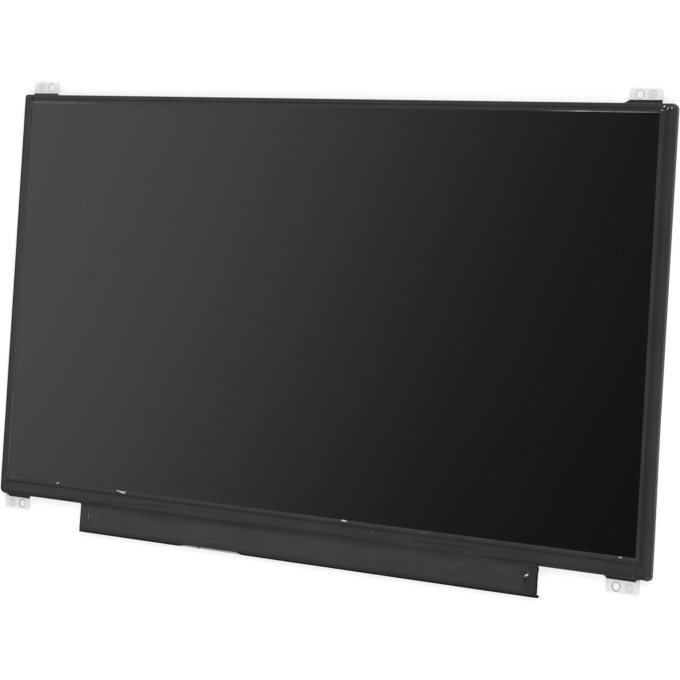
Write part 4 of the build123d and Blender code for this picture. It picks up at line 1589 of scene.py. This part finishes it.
        # Painted shade along the creases and in the groove of the flat part.
        lines = self.creases.height(flat[..., 0], flat[..., 1]) / MM
        flat_shade = np.maximum(border.groove(flat[..., 0], flat[..., 1])[1], lines)
        flap = Patch(
            np.concatenate([flat, np.stack([plan.x, plan.y, z], axis=-1)[:, 1:]], axis=1),
            np.pad(top.cut_edge[:, : border.flat_columns], ((0, 0), (0, z.shape[1] - 1))),
            np.concatenate([flat_shade, self.shade(plan, down)[:, 1:]], axis=1),
        )
        return FilmSheet(name, border.film, patches=[
            border.straight_patch(border.lip_run(right, border.right_seams[1]), -1, right),
            border.straight_patch(border.run(self.half, right.start), -1),
            border.straight_patch(border.run(left.start, -self.half), -1),
            border.straight_patch(border.lip_run(left, border.left_seams[1]), -1, left),
            flap,
        ])


@dataclass
class TapedBorder:
    """All black film pieces of the panel."""

    border: Border = field(default_factory=Border)

    def build(self, film: bpy.types.Material) -> None:
        """Builds and dresses the four films, each in the place of its solid.

        Args:
            film: Finish of the films.
        """
        for sheet, node in (
            (self.border.side_strip("left_border_film", -1), "tape_left"),
            (self.border.side_strip("right_border_film", 1), "tape_right"),
            (self.border.top_strip("upper_border_film"), "tape_top"),
            (LowerFilm(self.border).build("lower_cover_film"), "lower_cover_tape"),
        ):
            piece = sheet.build()
            piece.data.materials.append(film)
            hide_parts(node)
            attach(piece, "root")
            LOG.info("%s: %d points", piece.name, len(piece.data.vertices))


@dataclass(frozen=True)
class SolidFinishes:
    """Finishes of the solids that stay as they are, each named for its material slot.

    Attributes:
        fixed: Finishes that take nothing from the frame.
        ear_tone: Colour of the rear cover where it shows as ears, painted paler than its lower faces as
            painted light.
        ear_metallic: Share of bare metal in its gloss.
        rear_z: Height below which the rear cover is painted darker than its ears.
    """

    fixed: tuple[Moulding | ScreenFace | StampedSheet, ...] = (
        ScreenFace(),
        Moulding("cell_glass", (0.16, 0.19, 0.18), 0.12),
        Moulding("polariser_film", (0.035, 0.035, 0.04), 0.3),
        Moulding("white_moulding", (0.74, 0.74, 0.72), 0.55),
        Moulding("white_reflector", (0.82, 0.82, 0.82), 0.35),
        Moulding("clear_acrylic", (0.62, 0.66, 0.66), 0.15),
        Moulding("optical_film", (0.66, 0.66, 0.65), 0.4),
        Moulding("foam_tape", (0.03, 0.03, 0.03), 0.8, 0.3),
        Moulding("amber_flex", (0.42, 0.17, 0.025), 0.32),
        Moulding("lamp_body", (0.78, 0.76, 0.66), 0.4),
        Moulding("chip_moulding", (0.018, 0.018, 0.018), 0.55, 0.3),
        Moulding("connector_resin", (0.55, 0.51, 0.42), 0.5),
        StampedSheet("plated_contact", (0.78, 0.56, 0.24), 1.0, 0.28),
        StampedSheet("plated_shell", (0.62, 0.62, 0.61), 0.9, 0.34),
        Moulding("ferrite", (0.05, 0.05, 0.052), 0.6, 0.3),
        Moulding("ceramic_body", (0.30, 0.21, 0.13), 0.45),
        Moulding("resistor_body", (0.025, 0.025, 0.027), 0.4),
    )
    ear_tone: Triple = (0.97, 0.97, 0.96)
    ear_metallic: float = 0.05
    rear_z: float = 0.8 * MM

    def materials(self) -> dict[str, bpy.types.Material]:
        """Makes the materials; the rings on the ears and the board's margin take their places from the frame.

        Returns:
            A material for each slot.
        """
        holes = [mount for mount in frame["record"]["mounts"] if mount["kind"] == "bolt_pattern"]
        rows = tuple((*mount["pos_m"][:2], mount["dims"]["spacing_x_mm"] * MM) for mount in holes)
        sheet = StampedSheet(
            "stamped_aluminium", self.ear_tone, self.ear_metallic, rear_z=self.rear_z,
            rows=rows, hole=holes[0]["dims"]["hole_r_mm"] * MM,
        )
        board_low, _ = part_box("driver_board")
        finishes = (*self.fixed, sheet, Laminate("board_laminate", board_low.y))
        return {finish.name: finish.material() for finish in finishes}

    def dress(self) -> None:
        """Gives every shown solid the finish of its slot."""
        made = self.materials()
        for part in frame["record"]["subparts"]:
            slot = part["material_slot"]
            if slot in made:
                materials = frame["nodes"][part["node"]].data.materials
                materials.clear()
                materials.append(made[slot])
                LOG.info("%s: %s", part["node"], slot)


@dataclass(frozen=True)
class SoftLight:
    """A square soft lamp that faces the panel.

    Attributes:
        name: Name of the lamp.
        azimuth: Direction from the panel in plan, in degrees from X.
        elevation: Height above the horizon, in degrees.
        distance: Distance from the panel, in metres.
        size: Side of the lamp, in metres.
        power: Power in watts.
        roll: Turn of the lamp about its own axis, in degrees.
    """

    name: str
    azimuth: float
    elevation: float
    distance: float
    size: float
    power: float
    roll: float = 0.0

    def build(self) -> None:
        """Makes the lamp and turns it to the panel."""
        turn, rise = math.radians(self.azimuth), math.radians(self.elevation)
        level = self.distance * math.cos(rise)
        place = Vector((level * math.cos(turn), level * math.sin(turn), self.distance * math.sin(rise)))
        lamp = bpy.data.lights.new(self.name, "AREA")
        lamp.shape = "SQUARE"
        lamp.size = self.size
        lamp.energy = self.power
        made = bpy.data.objects.new(self.name, lamp)
        made.location = place
        facing = (-place).to_track_quat("-Z", "Y") @ Quaternion((0.0, 0.0, 1.0), math.radians(self.roll))
        made.rotation_euler = facing.to_euler()
        bpy.context.scene.collection.objects.link(made)
        LOG.info("%s: %.0f W", self.name, self.power)


@dataclass(frozen=True)
class Studio:
    """Camera, floor and lights.

    Attributes:
        eye: Place of the camera, in metres.
        turn: Turn of the camera, in degrees.
        lens: Focal length, in millimetres.
        sensor: Width of the sensor, in millimetres.
        shift: Upward shift of the frame, as a share of its width.
        lamps: The soft lamps.
        floor_half: Half the side of the floor, in metres.
        floor_gap: How far the floor lies below the panel.
        floor_tone: Colour of the floor in the lamps' light.
        floor_tints: Shares of that colour between which it varies.
        floor_cloud: Size of that variation, in metres.
        floor_glow: Light that the floor adds for the eye and in reflections.
        horizon: Brightness of the surround at the horizon.
        dark_from: Height in the surround, as a share of overhead, from which it is dark.
    """

    eye: Triple = (0.4037315, 0.0173876, 0.7068437)
    turn: Triple = (2.8137, 28.9277, 4.0383)
    lens: float = 104.650
    sensor: float = 36.0
    shift: float = -0.14706
    lamps: tuple[SoftLight, ...] = (
        SoftLight("window_side", 167.6, 37.8, 2.2, 1.875, 19.5, -10.7),
        SoftLight("near_fill", -60.0, 35.0, 1.8, 1.0, 20.0),
        SoftLight("far_fill", 60.0, 35.0, 1.8, 1.0, 20.0),
    )
    floor_half: float = 4.0
    floor_gap: float = 0.02 * MM
    floor_tone: float = 0.50
    floor_tints: Pair = (0.99, 1.01)
    floor_cloud: float = 0.5
    floor_glow: float = 0.64
    horizon: float = 0.30
    dark_from: float = 0.45

    def build(self) -> None:
        """Makes the camera, the floor, the lamps and the dim surround."""
        lens = bpy.data.cameras.new("camera")
        lens.sensor_width = self.sensor
        lens.lens = self.lens
        lens.shift_y = self.shift
        camera = bpy.data.objects.new("camera", lens)
        camera.location = self.eye
        camera.rotation_euler = Euler([math.radians(angle) for angle in self.turn], "XYZ")
        bpy.context.scene.collection.objects.link(camera)
        bpy.context.scene.camera = camera
        self.floor()
        for lamp in self.lamps:
            lamp.build()
        self.surround()
        bpy.context.scene.view_settings.view_transform = "Standard"

    def floor(self) -> None:
        """Lays a pale floor that shows white where it is open and keeps the panel's soft shadow."""
        sides = (-self.floor_half, self.floor_half)
        u, v = np.meshgrid(sides, sides, indexing="ij")
        points = rows_of(u, v, CAD_BOX[0].z - self.floor_gap)
        floor = new_piece("floor", points.reshape(-1, 3), grid_faces(*u.shape))
        paint = Paint.named("pale_floor")
        rays = ("Is Camera Ray", "Is Glossy Ray", "Is Transmission Ray")
        seen = reduce(Wire.larger, (paint.node("LightPath", out=ray) for ray in rays))
        tones = [(self.floor_tone * share,) * 3 for share in self.floor_tints]
        tint = paint.mix(paint.noise(paint.place(), self.floor_cloud, 2.0), *tones)
        matt = paint.node("BsdfDiffuse", None, {"Color": tint})
        glow = paint.node("Emission", None, {"Strength": seen * self.floor_glow})
        floor.data.materials.append(paint.end(paint.node("AddShader", None, {0: matt, 1: glow})))

    def surround(self) -> None:
        """Sets a dim surround, paler near the horizon and dark overhead."""
        world = bpy.data.worlds.new("studio_surround")
        bpy.context.scene.world = world
        paint = Paint(world)
        height = paint.axis(paint.node("TexCoord", out="Generated"), "Z")
        stops = ((0.0, (self.horizon,) * 3), (self.dark_from, (0.0,) * 3))
        tone = paint.node("ValToRGB", {"stops": stops}, {0: height})
        paint.end(paint.node("Background", None, {"Color": tone}))


def main() -> None:
    """Builds the films, dresses the solids and sets the studio."""
    logging.basicConfig(level=logging.INFO, format="%(name)s: %(message)s")
    TapedBorder().build(BlackFilm().material())
    SolidFinishes().dress()
    Studio().build()


if __name__ == "__main__":
    main()
